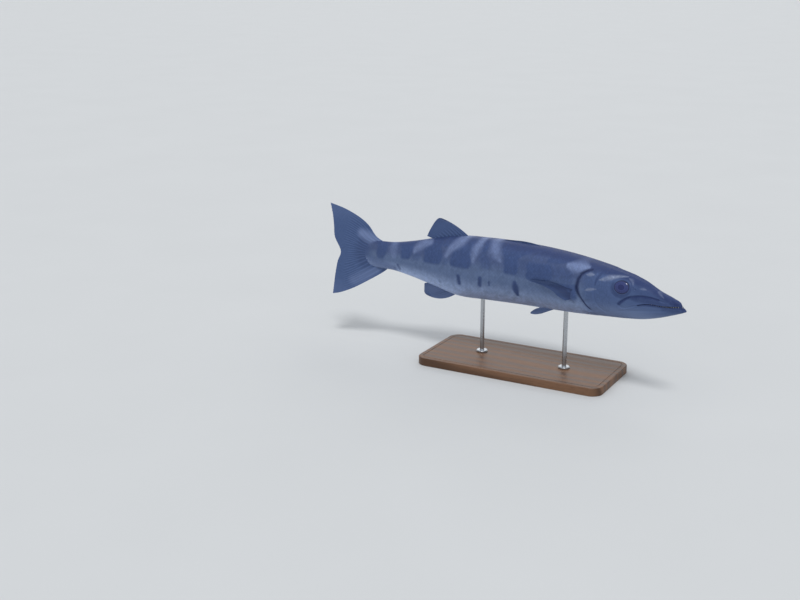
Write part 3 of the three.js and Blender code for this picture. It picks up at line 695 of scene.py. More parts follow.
sides = {}
for side in (1, -1):
    mirrored = skin * [1, side, 1]
    masks = markings(places, heights, side)
    inside = pocket * soft(MOUTH_FRONT, MOUTH_FRONT + 3.4, places)
    inside *= soft(MOUTH_CORNER + 4, MOUTH_CORNER - 12, places)
    masks["mouth"] = soft(0.25, 0.9, inside)
    sides[side] = (mirrored, masks)
ring_points = np.concatenate([sides[1][0], sides[-1][0][:, -2:0:-1]], 1)
rings, round_count = ring_points.shape[:2]
poles = np.array([[0.5, 0, -11], [-BODY_END - 1.5, 0, -0.5]])
skin_points = to_world(np.concatenate([ring_points.reshape(-1, 3), poles]))
quads = tube_faces(rings, round_count)
row = np.arange(round_count)
after = (row + 1) % round_count
last_ring = (rings - 1) * round_count
front_pole, rear_pole = rings * round_count, rings * round_count + 1
front_fan = np.stack([np.full_like(row, front_pole), after, row], -1)
rear_fan = np.stack([np.full_like(row, rear_pole), last_ring + row, last_ring + after], -1)

MARGIN = 0.01
span = 1 - 2 * MARGIN
grid_u = MARGIN + span * (np.arange(rings) + 1) / (rings + 1)
grid_v = MARGIN + span * np.arange(round_count + 1) / round_count
ring_index, row_index = np.divmod(quads[:, 0], round_count)
quad_uv = np.stack([
    np.stack([grid_u[ring_index + i], grid_v[row_index + j]], -1)
    for i, j in ((0, 0), (0, 1), (1, 1), (1, 0))
], 1)
fan_uvs = []
for first, edge, order in ((MARGIN, grid_u[0], (1, 0)), (1 - MARGIN, grid_u[-1], (0, 1))):
    middle_v = (grid_v[row] + grid_v[row + 1]) / 2
    corners = [np.stack([np.full(round_count, edge), grid_v[row + k]], -1) for k in order]
    fan_uvs.append(np.stack([np.stack([np.full(round_count, first), middle_v], -1), *corners], 1))

body_skin = make_piece(
    "body_skin", skin_points, [quads, front_fan, rear_fan], skin_lacquer, [quad_uv, *fan_uvs]
)
for name in sides[1][1]:
    ring_values = np.concatenate([sides[1][1][name], sides[-1][1][name][:, -2:0:-1]], 1)
    pole_values = [ring_values[0].mean(), ring_values[-1].mean()]
    put_attribute(body_skin.data, name, np.concatenate([ring_values.ravel(), pole_values]))
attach(body_skin, "root")
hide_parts("head", "lower_jaw", "trunk", "tail_stalk", "gill_cover_left", "gill_cover_right")

# Scales of the body
# Thin resin plates in slanting rows over the whole body behind the gill slit, each with its root under the
# plates ahead and its round edge free. They are silvered first, then take the same paint as the skin.
SCALE_ROWS = 24
BODY_SCALES = (196, BODY_END - 3)
PLATE_SIDES = 10
PLATE_LENGTH, PLATE_WIDTH = 1.45, 1.14
ROOT_HEIGHT, TIP_HEIGHT, CROWN_HEIGHT = -0.1, 0.008, 0.016
PATCH = 0.003
SHARES = np.linspace(0, 1, 97)
share_points = np.stack([
    np.stack([np.interp(SHARES * way[-1], way, line) for line in (y, z)], -1)
    for way, y, z in zip(ring_way, ring_y, ring_z)
])


def on_side(behind, share):
    """A point of the body's left side, by its place and its share of the way from belly to back."""
    row = np.interp(behind, PLACES, np.arange(len(PLACES)))
    column = np.clip(share, 0, 1) * (len(SHARES) - 1)
    i, j = np.minimum(row.astype(int), len(PLACES) - 2), np.minimum(column.astype(int), len(SHARES) - 2)
    s, t = (row - i)[:, None], (column - j)[:, None]
    ahead, after = (
        (1 - t) * share_points[row, j] + t * share_points[row, j + 1] for row in (i, i + 1)
    )
    return np.concatenate([-behind[:, None], (1 - s) * ahead + s * after], 1)


def mound_faces(loops, around):
    """Faces of a mound: a flat end on its first loop, and a fan to one last point over its last loop."""
    k = np.arange(around)
    last = (loops - 1) * around
    fan = np.stack([last + k, last + (k + 1) % around, np.full(around, last + around)], -1)
    return tube_faces(loops, around).tolist() + fan.tolist() + [k[::-1].tolist()]


def small_piece(name, points, faces, rim=None, flat_uv=None):
    """A small piece that is set many times over, with its height, rim and flat map where it needs them."""
    mesh = bpy.data.meshes.new(name)
    mesh.from_pydata(points.tolist(), [], faces)
    if rim is not None:
        put_attribute(mesh, "lift", points[:, 2])
        put_attribute(mesh, "rim", rim)
        corners = np.zeros(len(mesh.loops), int)
        mesh.loops.foreach_get("vertex_index", corners)
        layer = mesh.uv_layers.new(name="plate")
        layer.data.foreach_set("uv", flat_uv[corners].ravel().astype(np.float32))
    return bpy.data.objects.new(name, mesh)


def plate_template(name, length, width, root, tip, crown):
    """One scale, one unit tall in its row, its root at the origin and its free edge towards +X."""
    turn = np.arange(PLATE_SIDES) * 2 * math.pi / PLATE_SIDES
    outline = np.stack([0.5 * (1 - np.cos(turn)), np.sign(np.sin(turn)) * np.abs(np.sin(turn)) ** 0.85], -1)
    rings = [outline, (outline - [0.55, 0]) * 0.62 + [0.55, 0], np.array([[0.58, 0.0]])]
    flat = np.concatenate(rings)
    bulge = np.repeat([0, 0.75, 1], [PLATE_SIDES, PLATE_SIDES, 1]) * crown
    height = root + (tip - root) * flat[:, 0] + bulge
    points = np.stack([flat[:, 0] * length, flat[:, 1] * width / 2, height], -1)
    rim = np.repeat([1, 0.38, 0], [PLATE_SIDES, PLATE_SIDES, 1])
    faces = [face[::-1] for face in mound_faces(2, PLATE_SIDES)]
    return small_piece(name, points, faces, rim, np.stack([flat[:, 0], flat[:, 1] / 2 + 0.5], -1))


def set_on_points_tree():
    """Sets a copy of one object on each point, turned to the point's normal and lie, and realizes them."""
    tree = bpy.data.node_groups.new("set_on_points", "GeometryNodeTree")
    tree.interface.new_socket("Points", in_out="INPUT", socket_type="NodeSocketGeometry")
    kinds = {"Piece": "Object", "Turn spread": "Float", "Seed": "Int", "Finish": "Material"}
    for name, kind in kinds.items():
        tree.interface.new_socket(name, in_out="INPUT", socket_type="NodeSocket" + kind)
    tree.interface.new_socket("Pieces", in_out="OUTPUT", socket_type="NodeSocketGeometry")
    given = tree.nodes.new("NodeGroupInput").outputs
    outward, lie, size = (
        add(tree, "GeometryNodeInputNamedAttribute", {"data_type": kind}, out="Attribute", Name=name)
        for name, kind in (("outward", "FLOAT_VECTOR"), ("lie", "FLOAT_VECTOR"), ("size", "FLOAT"))
    )
    upright = add(
        tree, "FunctionNodeAxesToRotation", {"primary_axis": "Z", "secondary_axis": "X"},
        Primary_Axis=outward, Secondary_Axis=lie,
    )
    least = add(
        tree, "ShaderNodeMath", {"operation": "MULTIPLY"}, Value=given["Turn spread"], Value_001=-1.0
    )
    turn = add(
        tree, "FunctionNodeRandomValue", {"data_type": "FLOAT"},
        Min_001=least, Max_001=given["Turn spread"], Seed=given["Seed"],
    )
    turned = add(
        tree, "FunctionNodeRotateRotation", {"rotation_space": "LOCAL"}, Rotation=upright,
        Rotate_By=add(tree, "FunctionNodeAxisAngleToRotation", Axis=(0, 0, 1), Angle=turn),
    )
    piece = add(tree, "GeometryNodeObjectInfo", out="Geometry", Object=given["Piece"])
    set_out = add(
        tree, "GeometryNodeInstanceOnPoints",
        Points=given["Points"], Instance=piece, Rotation=turned, Scale=size,
    )
    joined = add(tree, "GeometryNodeRealizeInstances", out="Geometry", Geometry=set_out)
    painted = add(tree, "GeometryNodeSetMaterial", Geometry=joined, Material=given["Finish"])
    add(tree, "NodeGroupOutput", Pieces=painted)
    return tree


set_on_points = set_on_points_tree()


def set_pieces(name, template, finish, points, outward, lie, size, extra, spread=0.03, seed=1):
    """Copies of a template set on points of the straight fish. Gives the mesh, still straight."""
    holder_mesh = bpy.data.meshes.new(name + "_roots")
    holder_mesh.from_pydata(points.tolist(), [], [])
    for vector_name, vectors in (("outward", outward), ("lie", lie)):
        holder_mesh.attributes.new(vector_name, "FLOAT_VECTOR", "POINT").data.foreach_set(
            "vector", np.asarray(vectors, np.float32).ravel()
        )
    for value_name, values in {"size": size, **extra}.items():
        put_attribute(holder_mesh, value_name, values)
    holder = bpy.data.objects.new(name + "_holder", holder_mesh)
    bpy.context.scene.collection.objects.link(holder)
    modifier = holder.modifiers.new("set", "NODES")
    modifier.node_group = set_on_points
    given = {"Piece": template, "Turn spread": spread, "Seed": seed, "Finish": finish}
    for socket in set_on_points.interface.items_tree:
        if socket.name in given:
            modifier[socket.identifier] = given[socket.name]
    evaluated = holder.evaluated_get(bpy.context.evaluated_depsgraph_get())
    mesh = bpy.data.meshes.new_from_object(evaluated)
    mesh.name = name
    bpy.data.objects.remove(holder)
    bpy.data.meshes.remove(holder_mesh)
    return mesh


def read_mesh(mesh, *names):
    """A mesh's points and the named values of its points."""
    points = np.zeros(len(mesh.vertices) * 3, np.float32)
    mesh.vertices.foreach_get("co", points)
    values = []
    for name in names:
        value = np.zeros(len(mesh.vertices), np.float32)
        mesh.attributes[name].data.foreach_get("value", value)
        values.append(value.astype(float))
    return [points.reshape(-1, 3).astype(float), *values]


def laid_on_body(points, height, relief_of):
    """Points moved straight out or in, to stand at a height over the skin."""
    behind = np.clip(-points[:, 0], 0, BODY_END)
    top, bottom, half, square = section(behind)
    middle = (top + bottom) / 2
    y, z = np.abs(points[:, 1]), points[:, 2] - middle
    upper = z > 0
    reach = np.where(upper, top - middle, middle - bottom)
    power = np.where(upper, square, LOWER_SQUARENESS)
    size = ((y / half) ** power + (np.abs(z) / reach) ** power) ** (1 / power)
    y, z = y / size, z / size
    out_y = (y / half) ** (power - 1) / half
    out_z = np.sign(z) * (np.abs(z) / reach) ** (power - 1) / reach
    length = np.hypot(out_y, out_z)
    rise = height + relief_of(behind, z + middle)
    way = np.where(points[:, 1] < 0, -1, 1)
    y, z = y + out_y / length * rise, middle + z + out_z / length * rise
    return np.stack([points[:, 0], way * y, z], -1)


def finish_set(mesh, straight, side):
    """The straight mesh bent into the pose, with its masks and its bake map, as an object."""
    for name, values in markings(np.clip(-straight[:, 0], 0, BODY_END), straight[:, 2], side).items():
        put_attribute(mesh, name, values)
    mesh.vertices.foreach_set("co", to_world(straight).astype(np.float32).ravel())
    corners = np.zeros(len(mesh.loops), int)
    mesh.loops.foreach_get("vertex_index", corners)
    plate_uv = np.zeros(len(mesh.loops) * 2, np.float32)
    mesh.uv_layers["plate"].data.foreach_get("uv", plate_uv)
    root_u, root_v = read_mesh(mesh, "root_u", "root_v")[1:]
    baked = np.stack([root_u[corners], root_v[corners]], -1) + PATCH * (plate_uv.reshape(-1, 2) - 0.5)
    mesh.uv_layers.new(name="OFBake").data.foreach_set("uv", baked.ravel().astype(np.float32))
    mesh.polygons.foreach_set("use_smooth", [True] * len(mesh.polygons))
    mesh.set_sharp_from_angle(angle=math.radians(50))
    for name in ("outward", "lie", "root_u", "root_v", "lift", "size"):
        if name in mesh.attributes:
            mesh.attributes.remove(mesh.attributes[name])
    mesh.update()
    piece = bpy.data.objects.new(mesh.name, mesh)
    bpy.context.scene.collection.objects.link(piece)
    return piece


# Silvered resin scale: a bright satin face with growth rings round its root and a thin darker rim
silvered_scale, tree = new_material("silvered_resin_scale")
colour, _ = fish_colour(tree)
rim = add(tree, "ShaderNodeAttribute", {"attribute_name": "rim"}, out="Fac")
tone = add(tree, "ShaderNodeAttribute", {"attribute_name": "tone"}, out="Fac")
rim_line = add(tree, "ShaderNodeMapRange", Value=rim, From_Min=0.7, From_Max=1.0, To_Min=0.0, To_Max=0.25)
shade = add(
    tree, "ShaderNodeMix", {"data_type": "RGBA", "blend_type": "MULTIPLY"},
    Factor_Float=rim_line, A_Color=colour, B_Color=linear("#8c93a6"),
)
lit = add(tree, "ShaderNodeMapRange", Value=tone, To_Min=0.92, To_Max=1.1)
colour = add(tree, "ShaderNodeHueSaturation", Value=lit, Color=shade)
plate_place = add(tree, "ShaderNodeUVMap", {"uv_map": "plate"})
growth = add(
    tree, "ShaderNodeTexWave", {"wave_type": "RINGS", "rings_direction": "SPHERICAL"}, out="Fac",
    Vector=plate_place, Scale=4.5, Distortion=0.6,
)
bump = add(tree, "ShaderNodeBump", Strength=0.25, Distance=0.08 * MM, Height=growth)
gloss = add(tree, "ShaderNodeMapRange", Value=tone, To_Min=0.34, To_Max=0.46)
dull, silvering = dark_back_finish(tree, gloss, 0.4)
add(tree, "ShaderNodeOutputMaterial", Surface=add(
    tree, "ShaderNodeBsdfPrincipled", Base_Color=colour, Roughness=dull, Normal=bump,
    Metallic=silvering, IOR=1.45, Specular_IOR_Level=0.3, Coat_Weight=0.06, Coat_Roughness=0.25,
))


def scale_field(name, side, first, last, rows, keep, height_share, relief_of, seed):
    """One coat of scales: rows shares of the girth apart, from one place to another, where keep allows."""
    rng = np.random.default_rng(seed)
    at, places, shares = first, [], []
    column = 0
    while at < last:
        girth_here = float(np.interp(at, PLACES, ring_way[:, -1]))
        here = (np.arange(rows + 1 - column % 2) + 0.5 * (column % 2)) / rows
        if side < 0:
            here = here[(here > 0) & (here < 1)]
        shares.append(here)
        places.append(np.full(len(here), at))
        at += girth_here / rows / 2
        column += 1
    places, shares = np.concatenate(places), np.concatenate(shares)
    points = on_side(places, shares)
    chosen = keep(places, points[:, 2])
    places, shares, points = places[chosen], shares[chosen], points[chosen]
    lie = on_side(np.minimum(places + 2, BODY_END), shares) - on_side(places - 2, shares)
    across = on_side(places, np.clip(shares + 0.01, 0, 1)) - on_side(places, np.clip(shares - 0.01, 0, 1))
    outward = np.cross(across, lie)
    outward *= np.sign((outward * points)[:, 1:].sum(1) + 1e-9)[:, None]
    across_mid = (shares < 0.005) | (shares > 0.995)
    outward[across_mid, 1] = 0
    size = np.interp(places, PLACES, ring_way[:, -1]) / rows * rng.uniform(0.96, 1.04, len(places))
    extra = {
        "tone": rng.uniform(0, 1, len(places)),
        "root_u": MARGIN + span * (places - first) / (last - first),
        "root_v": MARGIN + span * shares,
    }
    mirror = np.array([1, side, 1])
    mesh = set_pieces(
        name, scale_plate, silvered_scale, points * mirror, outward * mirror, lie * mirror, size, extra,
        seed=seed,
    )
    straight, lift, size_here = read_mesh(mesh, "lift", "size")
    straight = laid_on_body(straight, lift * size_here * height_share, relief_of)
    piece = finish_set(mesh, straight, side)
    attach(piece, "root")
    return piece


def scaly_body(behind, z):
    """Where the body carries scales: behind the gill slit, and not on the swelling at the pectoral fin."""
    past_slit = behind > slit_at(z) + 2.5 - 6 * (1 - flap(z))
    return past_slit & (near_line(FIN_SHOULDER, behind, z, 6)[0] > 6)


scale_plate = plate_template("scale_plate", PLATE_LENGTH, PLATE_WIDTH, ROOT_HEIGHT, TIP_HEIGHT, CROWN_HEIGHT)
for side, word in ((1, "left"), (-1, "right")):
    coat = scale_field(
        f"body_scales_{word}", side, *BODY_SCALES, SCALE_ROWS, scaly_body, 1.0, body_relief, 11 + side
    )
    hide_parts("trunk", "tail_stalk")

# Scales of the cheek and gill cover
# Smaller, flatter plates of the same kind, on the cheek behind the eye, the gill cover and the nape. The
# bare bones of the face, the seams between the plates and the rim of the eye stay free of them.
HEAD_SCALE_ROWS = 38
HEAD_SCALES, HEAD_SCALE_LIFT = (146, 232), 1.15
BARE_LINES = ((CHEEK_EDGE, 2.4), (COVER_SEAM, 1.6), (LOWER_SEAM, 1.6), (MAXILLA_REAR, 4), (UNDER_EYE, 2.5))


def scaly_head(behind, z):
    """Where the head carries scales."""
    cheek = (behind > 148) & (z > -36) & (z < 38)
    nape = (behind > 172) & (z >= 38)
    clear = eye_ring(behind, z) > 1.5
    for line, width in BARE_LINES:
        clear &= near_line(line, behind, z)[0] > width
    ends_before_edge = behind < slit_at(z) - 6.5 - 3 * (1 - flap(z))
    nape_ends = (z > FLAP_HIGH - 6) & (behind < 216)
    return (cheek | nape) & clear & (ends_before_edge | nape_ends)


def head_scale_relief(behind, z):
    """Height of the skin under the head's scales. They sink into it towards the bare parts of the face."""
    top = section(behind)[0]
    height = head_relief(behind, flank(behind, np.minimum(z, top - 0.01)), z, np.full_like(behind, 60))
    sunk = soft(170, 146, behind)
    for line, width in BARE_LINES:
        sunk = np.maximum(sunk, soft(width + 4, width, near_line(line, behind, z, 10)[0]))
    return height - 0.7 * sunk


for side, word in ((1, "left"), (-1, "right")):
    coat = scale_field(
        f"head_scales_{word}", side, *HEAD_SCALES, HEAD_SCALE_ROWS, scaly_head, HEAD_SCALE_LIFT,
        head_scale_relief, 21 + side,
    )
    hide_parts("gill_cover_" + word)

# Lateral line
# A row of small raised pores along each side, from the top of the gill cover to the root of the tail.
LATERAL_LINE = [
    [219, 41], [240, 31], [262, 24], [330, 17.5], [400, 13], [500, 6], [580, 3], [650, 0], [790, 0],
]
PORE_LENGTH, PORE_WIDTH, PORE_HEIGHT = 0.92, 0.15, 0.04
PORE_SIDES, PORE_STEPS = 8, np.radians([0, 36, 72])
PORE_SUNK = 0.02


def pore_template():
    """A low closed mound, one unit between neighbours, with its long way along +X."""
    turn = np.arange(PORE_SIDES) * 2 * math.pi / PORE_SIDES
    rise, turn = np.meshgrid(PORE_STEPS, turn, indexing="ij")
    points = np.stack([
        PORE_LENGTH / 2 * np.cos(turn) * np.cos(rise) + 0.5,
        PORE_WIDTH / 2 * np.sin(turn) * np.cos(rise),
        PORE_HEIGHT * np.sin(rise),
    ], -1).reshape(-1, 3)
    points = np.concatenate([points, [[0.5, 0, PORE_HEIGHT]]])
    faces = mound_faces(len(PORE_STEPS), PORE_SIDES)
    return small_piece("pore", points, faces, np.zeros(len(points)), points[:, :2])


pore = pore_template()
for side, word in ((1, "left"), (-1, "right")):
    line = spline(LATERAL_LINE, np.linspace(0, 1, 600))
    spacing = np.interp(line[:, 0], PLACES, ring_way[:, -1]) / SCALE_ROWS
    count = np.r_[0, np.cumsum(np.diff(line[:, 0]) / spacing[:-1])]
    stops = np.arange(0.5, count[-1])
    places = np.interp(stops, count, line[:, 0])
    levels = np.interp(stops, count, line[:, 1])
    points = np.stack([-places, side * flank(places, levels), levels], -1)
    lie = np.gradient(points, axis=0)
    outward = np.tile([0.0, side, 0.0], (len(points), 1))
    size = np.interp(stops, count, spacing)
    extra = {
        "tone": np.zeros(len(points)), "root_u": MARGIN + span * stops / stops[-1],
        "root_v": np.full(len(points), 0.5),
    }
    mesh = set_pieces(f"lateral_line_{word}", pore, silvered_scale, points, outward, lie, size, extra)
    straight, lift, size_here = read_mesh(mesh, "lift", "size")
    straight = laid_on_body(straight, lift * size_here - PORE_SUNK, body_relief)
    piece = finish_set(mesh, straight, side)
    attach(piece, "root")

# Eyes
# Glass eyes set in the sockets. A dark blue iris, a little paler round a darker pupil, is painted behind
# one clear polished dome.
EYE_STEPS, EYE_SIDES = 44, 72
# Paints over the iris, by share of its radius: where each starts, where it covers fully, and its colour
EYE_PAINTS = ((0.78, 0.9, "#1a2248"), (0.5, 0.42, "#37447e"), (0.45, 0.39, "#18245a"))


def eye_axes(side):
    """The middle of the ball and its three directions, on the straight fish."""
    behind, z, reach = EYE["behind"], EYE["z"], 8
    slope_along = (flank(behind + reach, z) - flank(behind - reach, z)) / (2 * reach)
    slope_up = (flank(behind, z + reach) - flank(behind, z - reach)) / (2 * reach)
    out = np.array([slope_along, side, -slope_up], float)
    out /= np.linalg.norm(out)
    along = np.array([1.0, 0, 0]) - out * out[0]
    along /= np.linalg.norm(along)
    up = np.cross(out, along)
    centre = np.array([-behind, side * flank(behind, z), z], float) + out * (EYE["proud"] - EYE["deep"])
    return centre, along, up, out


glass_eye, tree = new_material("painted_glass_eye")
radius = add(tree, "ShaderNodeAttribute", {"attribute_name": "radius"}, out="Fac")
spoke = add(tree, "ShaderNodeAttribute", {"attribute_name": "spoke"}, out="Fac")
streaks = add(
    tree, "ShaderNodeTexNoise", {"noise_dimensions": "1D"}, out="Fac", W=spoke, Scale=9.0, Detail=4.0
)
rays_of_iris = add(
    tree, "ShaderNodeMapRange", Value=streaks, From_Min=0.3, From_Max=0.7, To_Min=0.15, To_Max=0.75
)
colour = add(
    tree, "ShaderNodeMix", {"data_type": "RGBA"},
    Factor_Float=rays_of_iris, A_Color=linear("#1f2a5c"), B_Color=linear("#35427a"),
)
for start, end, code in EYE_PAINTS:
    covered = add(
        tree, "ShaderNodeMapRange", {"interpolation_type": "SMOOTHSTEP"},
        Value=radius, From_Min=start, From_Max=end,
    )
    colour = add(
        tree, "ShaderNodeMix", {"data_type": "RGBA"},
        Factor_Float=covered, A_Color=colour, B_Color=linear(code),
    )
add(tree, "ShaderNodeOutputMaterial", Surface=add(
    tree, "ShaderNodeBsdfPrincipled", Base_Color=colour, Roughness=0.45, IOR=1.5, Specular_IOR_Level=0.15,
    Coat_Weight=1.0, Coat_Roughness=0.03, Coat_IOR=1.36,
))

for side, word in ((1, "left"), (-1, "right")):
    centre, along_eye, up_eye, out_eye = eye_axes(side)
    steps = np.linspace(0, math.pi, EYE_STEPS + 1)[1:-1]
    slant, turn = np.meshgrid(steps, np.arange(EYE_SIDES) * 2 * math.pi / EYE_SIDES, indexing="ij")
    ball = np.stack([np.sin(slant) * np.cos(turn), np.sin(slant) * np.sin(turn), np.cos(slant)], -1)
    ball = np.concatenate([ball.reshape(-1, 3), [[0, 0, 1], [0, 0, -1]]])
    radius = np.where(ball[:, 2] > 0, np.hypot(ball[:, 0], ball[:, 1]), 1)
    ball *= [EYE["along"], EYE["high"], EYE["deep"]]
    points = centre + ball @ np.stack([along_eye, up_eye, out_eye])
    k = np.arange(EYE_SIDES)
    after = (k + 1) % EYE_SIDES
    last = (len(steps) - 1) * EYE_SIDES
    front_pole, rear_pole = np.full_like(k, last + EYE_SIDES), np.full_like(k, last + EYE_SIDES + 1)
    faces = [
        tube_faces(len(steps), EYE_SIDES), np.stack([front_pole, after, k], -1),
        np.stack([rear_pole, last + k, last + after], -1),
    ]
    eye = make_piece(f"glass_eye_{word}", to_world(points), faces, glass_eye)
    put_attribute(eye.data, "radius", radius)
    put_attribute(eye.data, "spoke", np.arctan2(ball[:, 1], ball[:, 0]))
    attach(eye, "root")
    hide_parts(f"eye_{word}")

# Teeth
# Small curved fangs along both lips, cast in ivory resin and set in the gums. They are larger at the front,
# where the jaws don't quite meet.
TOOTH_RINGS, TOOTH_SIDES = 4, 7
TOOTH_LEAN, TOOTH_FLATNESS = 0.16, 0.7
UPPER_TEETH = np.r_[13.5:82:4.6]
LOWER_TEETH = np.r_[8.5:74:5.1]
UPPER_INSET, LOWER_INSET, TOOTH_ROOT = 1.3, 2.2, 0.7
TOOTH_HEIGHT, FRONT_EXTRA, TOOTH_SPREAD, TOOTH_LEAST = 2.4, 0.9, 0.35, 0.9


def tooth_template():
    """A curved cone one unit tall along +Z, leaning back towards +X at the tip."""
    height = np.linspace(0, 1, TOOTH_RINGS + 1)[:-1]
    turn = np.arange(TOOTH_SIDES) * 2 * math.pi / TOOTH_SIDES
    height, turn = np.meshgrid(height, turn, indexing="ij")
    width = 0.2 * (1 - height) ** 0.8
    points = np.stack([
        width * np.cos(turn) + TOOTH_LEAN * height ** 2, width * TOOTH_FLATNESS * np.sin(turn), height,
    ], -1).reshape(-1, 3)
    points = np.concatenate([points, [[TOOTH_LEAN, 0, 1]]])
    return small_piece("tooth", points, mound_faces(TOOTH_RINGS, TOOTH_SIDES))


ivory, tree = new_material("ivory_resin_tooth")
place = add(tree, "ShaderNodeTexCoord", out="Object")
stain = add(tree, "ShaderNodeTexNoise", out="Fac", Vector=place, Scale=1 / (1.5 * MM), Detail=3.0)
colour = add(
    tree, "ShaderNodeMix", {"data_type": "RGBA"},
    Factor_Float=stain, A_Color=linear("#a9abb0"), B_Color=linear("#8f949e"),
)
bump = add(tree, "ShaderNodeBump", Strength=0.1, Distance=0.1 * MM, Height=stain)
add(tree, "ShaderNodeOutputMaterial", Surface=add(
    tree, "ShaderNodeBsdfPrincipled", Base_Color=colour, Roughness=0.28, Normal=bump, IOR=1.55,
    Coat_Weight=0.3,
))

rng = np.random.default_rng(5)
tooth = tooth_template()
tooth_points, tooth_up, tooth_size = [], [], []
for places, up, inset in ((UPPER_TEETH, -1, UPPER_INSET), (LOWER_TEETH, 1, LOWER_INSET)):
    for side in (1, -1):
        lip = through(GAPE, 1, places) - up * (through(GAPE_HALF, 1, places) + TOOTH_ROOT)
        width = flank(places, lip) * (1 - (slimming(places) if up < 0 else 0))
        inward = np.minimum(inset, width * 0.35)
        tooth_points.append(np.stack([-places, side * (width - inward), lip], -1))
        tooth_up.append(np.tile([0.0, 0.12 * side, float(up)], (len(places), 1)))
        grown = TOOTH_HEIGHT + FRONT_EXTRA * soft(45, 14, places)
        grown += rng.uniform(-TOOTH_SPREAD, TOOTH_SPREAD, len(places))
        tooth_size.append(grown * soft(96, 60, places) + TOOTH_LEAST)
tooth_points, tooth_up = np.concatenate(tooth_points), np.concatenate(tooth_up)
teeth_mesh = set_pieces(
    "teeth", tooth, ivory, tooth_points, tooth_up, np.tile([-1.0, 0, 0], (len(tooth_points), 1)),
    np.concatenate(tooth_size), {}, spread=0.25, seed=3,
)
straight = read_mesh(teeth_mesh)[0]
teeth_mesh.vertices.foreach_set("co", to_world(straight).astype(np.float32).ravel())
teeth_mesh.polygons.foreach_set("use_smooth", [True] * len(teeth_mesh.polygons))
teeth_mesh.set_sharp_from_angle(angle=math.radians(60))
for name in ("outward", "lie", "size"):
    teeth_mesh.attributes.remove(teeth_mesh.attributes[name])
teeth_mesh.update()
teeth = bpy.data.objects.new("teeth", teeth_mesh)
bpy.context.scene.collection.objects.link(teeth)
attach(teeth, "root")

# Fins
# Thin cast blades with their rays raised on both faces. The rays branch and are jointed towards the free
# edge, which is notched between them. Each root is let into the body.
FIN_ROOT, FIN_EDGE = 3.0, 0.8
# How thin the skin between the rays is, as a share of the rays, and how deep the edge is notched
WEB_SHARE, NOTCH = 0.45, 0.006
TAIL_ROOT = [[742, 27], [778, 26], [792, 12], [795, 0], [792, -12], [776, -27], [736, -29]]
TAIL_UPPER_LOBE = [[742, 27], [769, 41], [789, 66], [813, 84], [850, 101], [889, 112]]
TAIL_LOWER_LOBE = [[736, -29], [752, -43], [790, -67], [830, -90], [864, -105], [887, -111]]
TAIL_EDGE = [
    [889, 112], [883.5, 84], [881, 58], [879, 30], [864, -3], [873, -30], [880, -64], [883.5, -88],
    [887, -111],
]

# Fin membrane: translucent resin tinted slate, glossier than the skin, with the rays a little lighter
fin_membrane, tree = new_material("tinted_fin_membrane")
ray, out_share, pale, dusk = (
    add(tree, "ShaderNodeAttribute", {"attribute_name": name}, out="Fac")
    for name in ("ray", "reach", "pale", "dusk")
)
place = add(tree, "ShaderNodeTexCoord", out="Object")
blur = add(tree, "ShaderNodeTexNoise", out="Fac", Vector=place, Scale=1 / (9 * MM), Detail=5.0)
fine = add(tree, "ShaderNodeTexNoise", out="Fac", Vector=place, Scale=1 / (0.8 * MM), Detail=2.0)
colour = add(
    tree, "ShaderNodeMix", {"data_type": "RGBA"},
    Factor_Float=blur, A_Color=linear("#334870"), B_Color=linear("#455b86"),
)
# The pale mask is the tail's own pale streaks, and on the anal and pelvic fins painted light from below
for mask, code in ((ray, "#4f6490"), (dusk, "#293962"), (pale, "#7384ad")):
    part = add(
        tree, "ShaderNodeMath", {"operation": "MULTIPLY", "use_clamp": True}, Value=mask, Value_001=0.9
    )
    colour = add(
        tree, "ShaderNodeMix", {"data_type": "RGBA"}, Factor_Float=part, A_Color=colour, B_Color=linear(code)
    )
joints = add(tree, "ShaderNodeMath", {"operation": "SINE"}, Value=add(
    tree, "ShaderNodeMath", {"operation": "MULTIPLY"}, Value=out_share, Value_001=150.0
))
jointed = add(tree, "ShaderNodeMath", {"operation": "MULTIPLY"}, Value=joints, Value_001=ray)
height = add(tree, "ShaderNodeMath", {"operation": "ADD"}, Value=jointed, Value_001=fine)
bump = add(tree, "ShaderNodeBump", Strength=0.3, Distance=0.12 * MM, Height=height)
add(tree, "ShaderNodeOutputMaterial", Surface=add(
    tree, "ShaderNodeBsdfPrincipled", Base_Color=colour, Roughness=0.42, Normal=bump, IOR=1.48,
    Specular_IOR_Level=0.3, Coat_Weight=0.05, Coat_Roughness=0.25,
))


def ridge(phase):
    """A rounded ridge at every whole phase."""
    return (0.5 + 0.5 * np.cos(2 * math.pi * phase)) ** 2


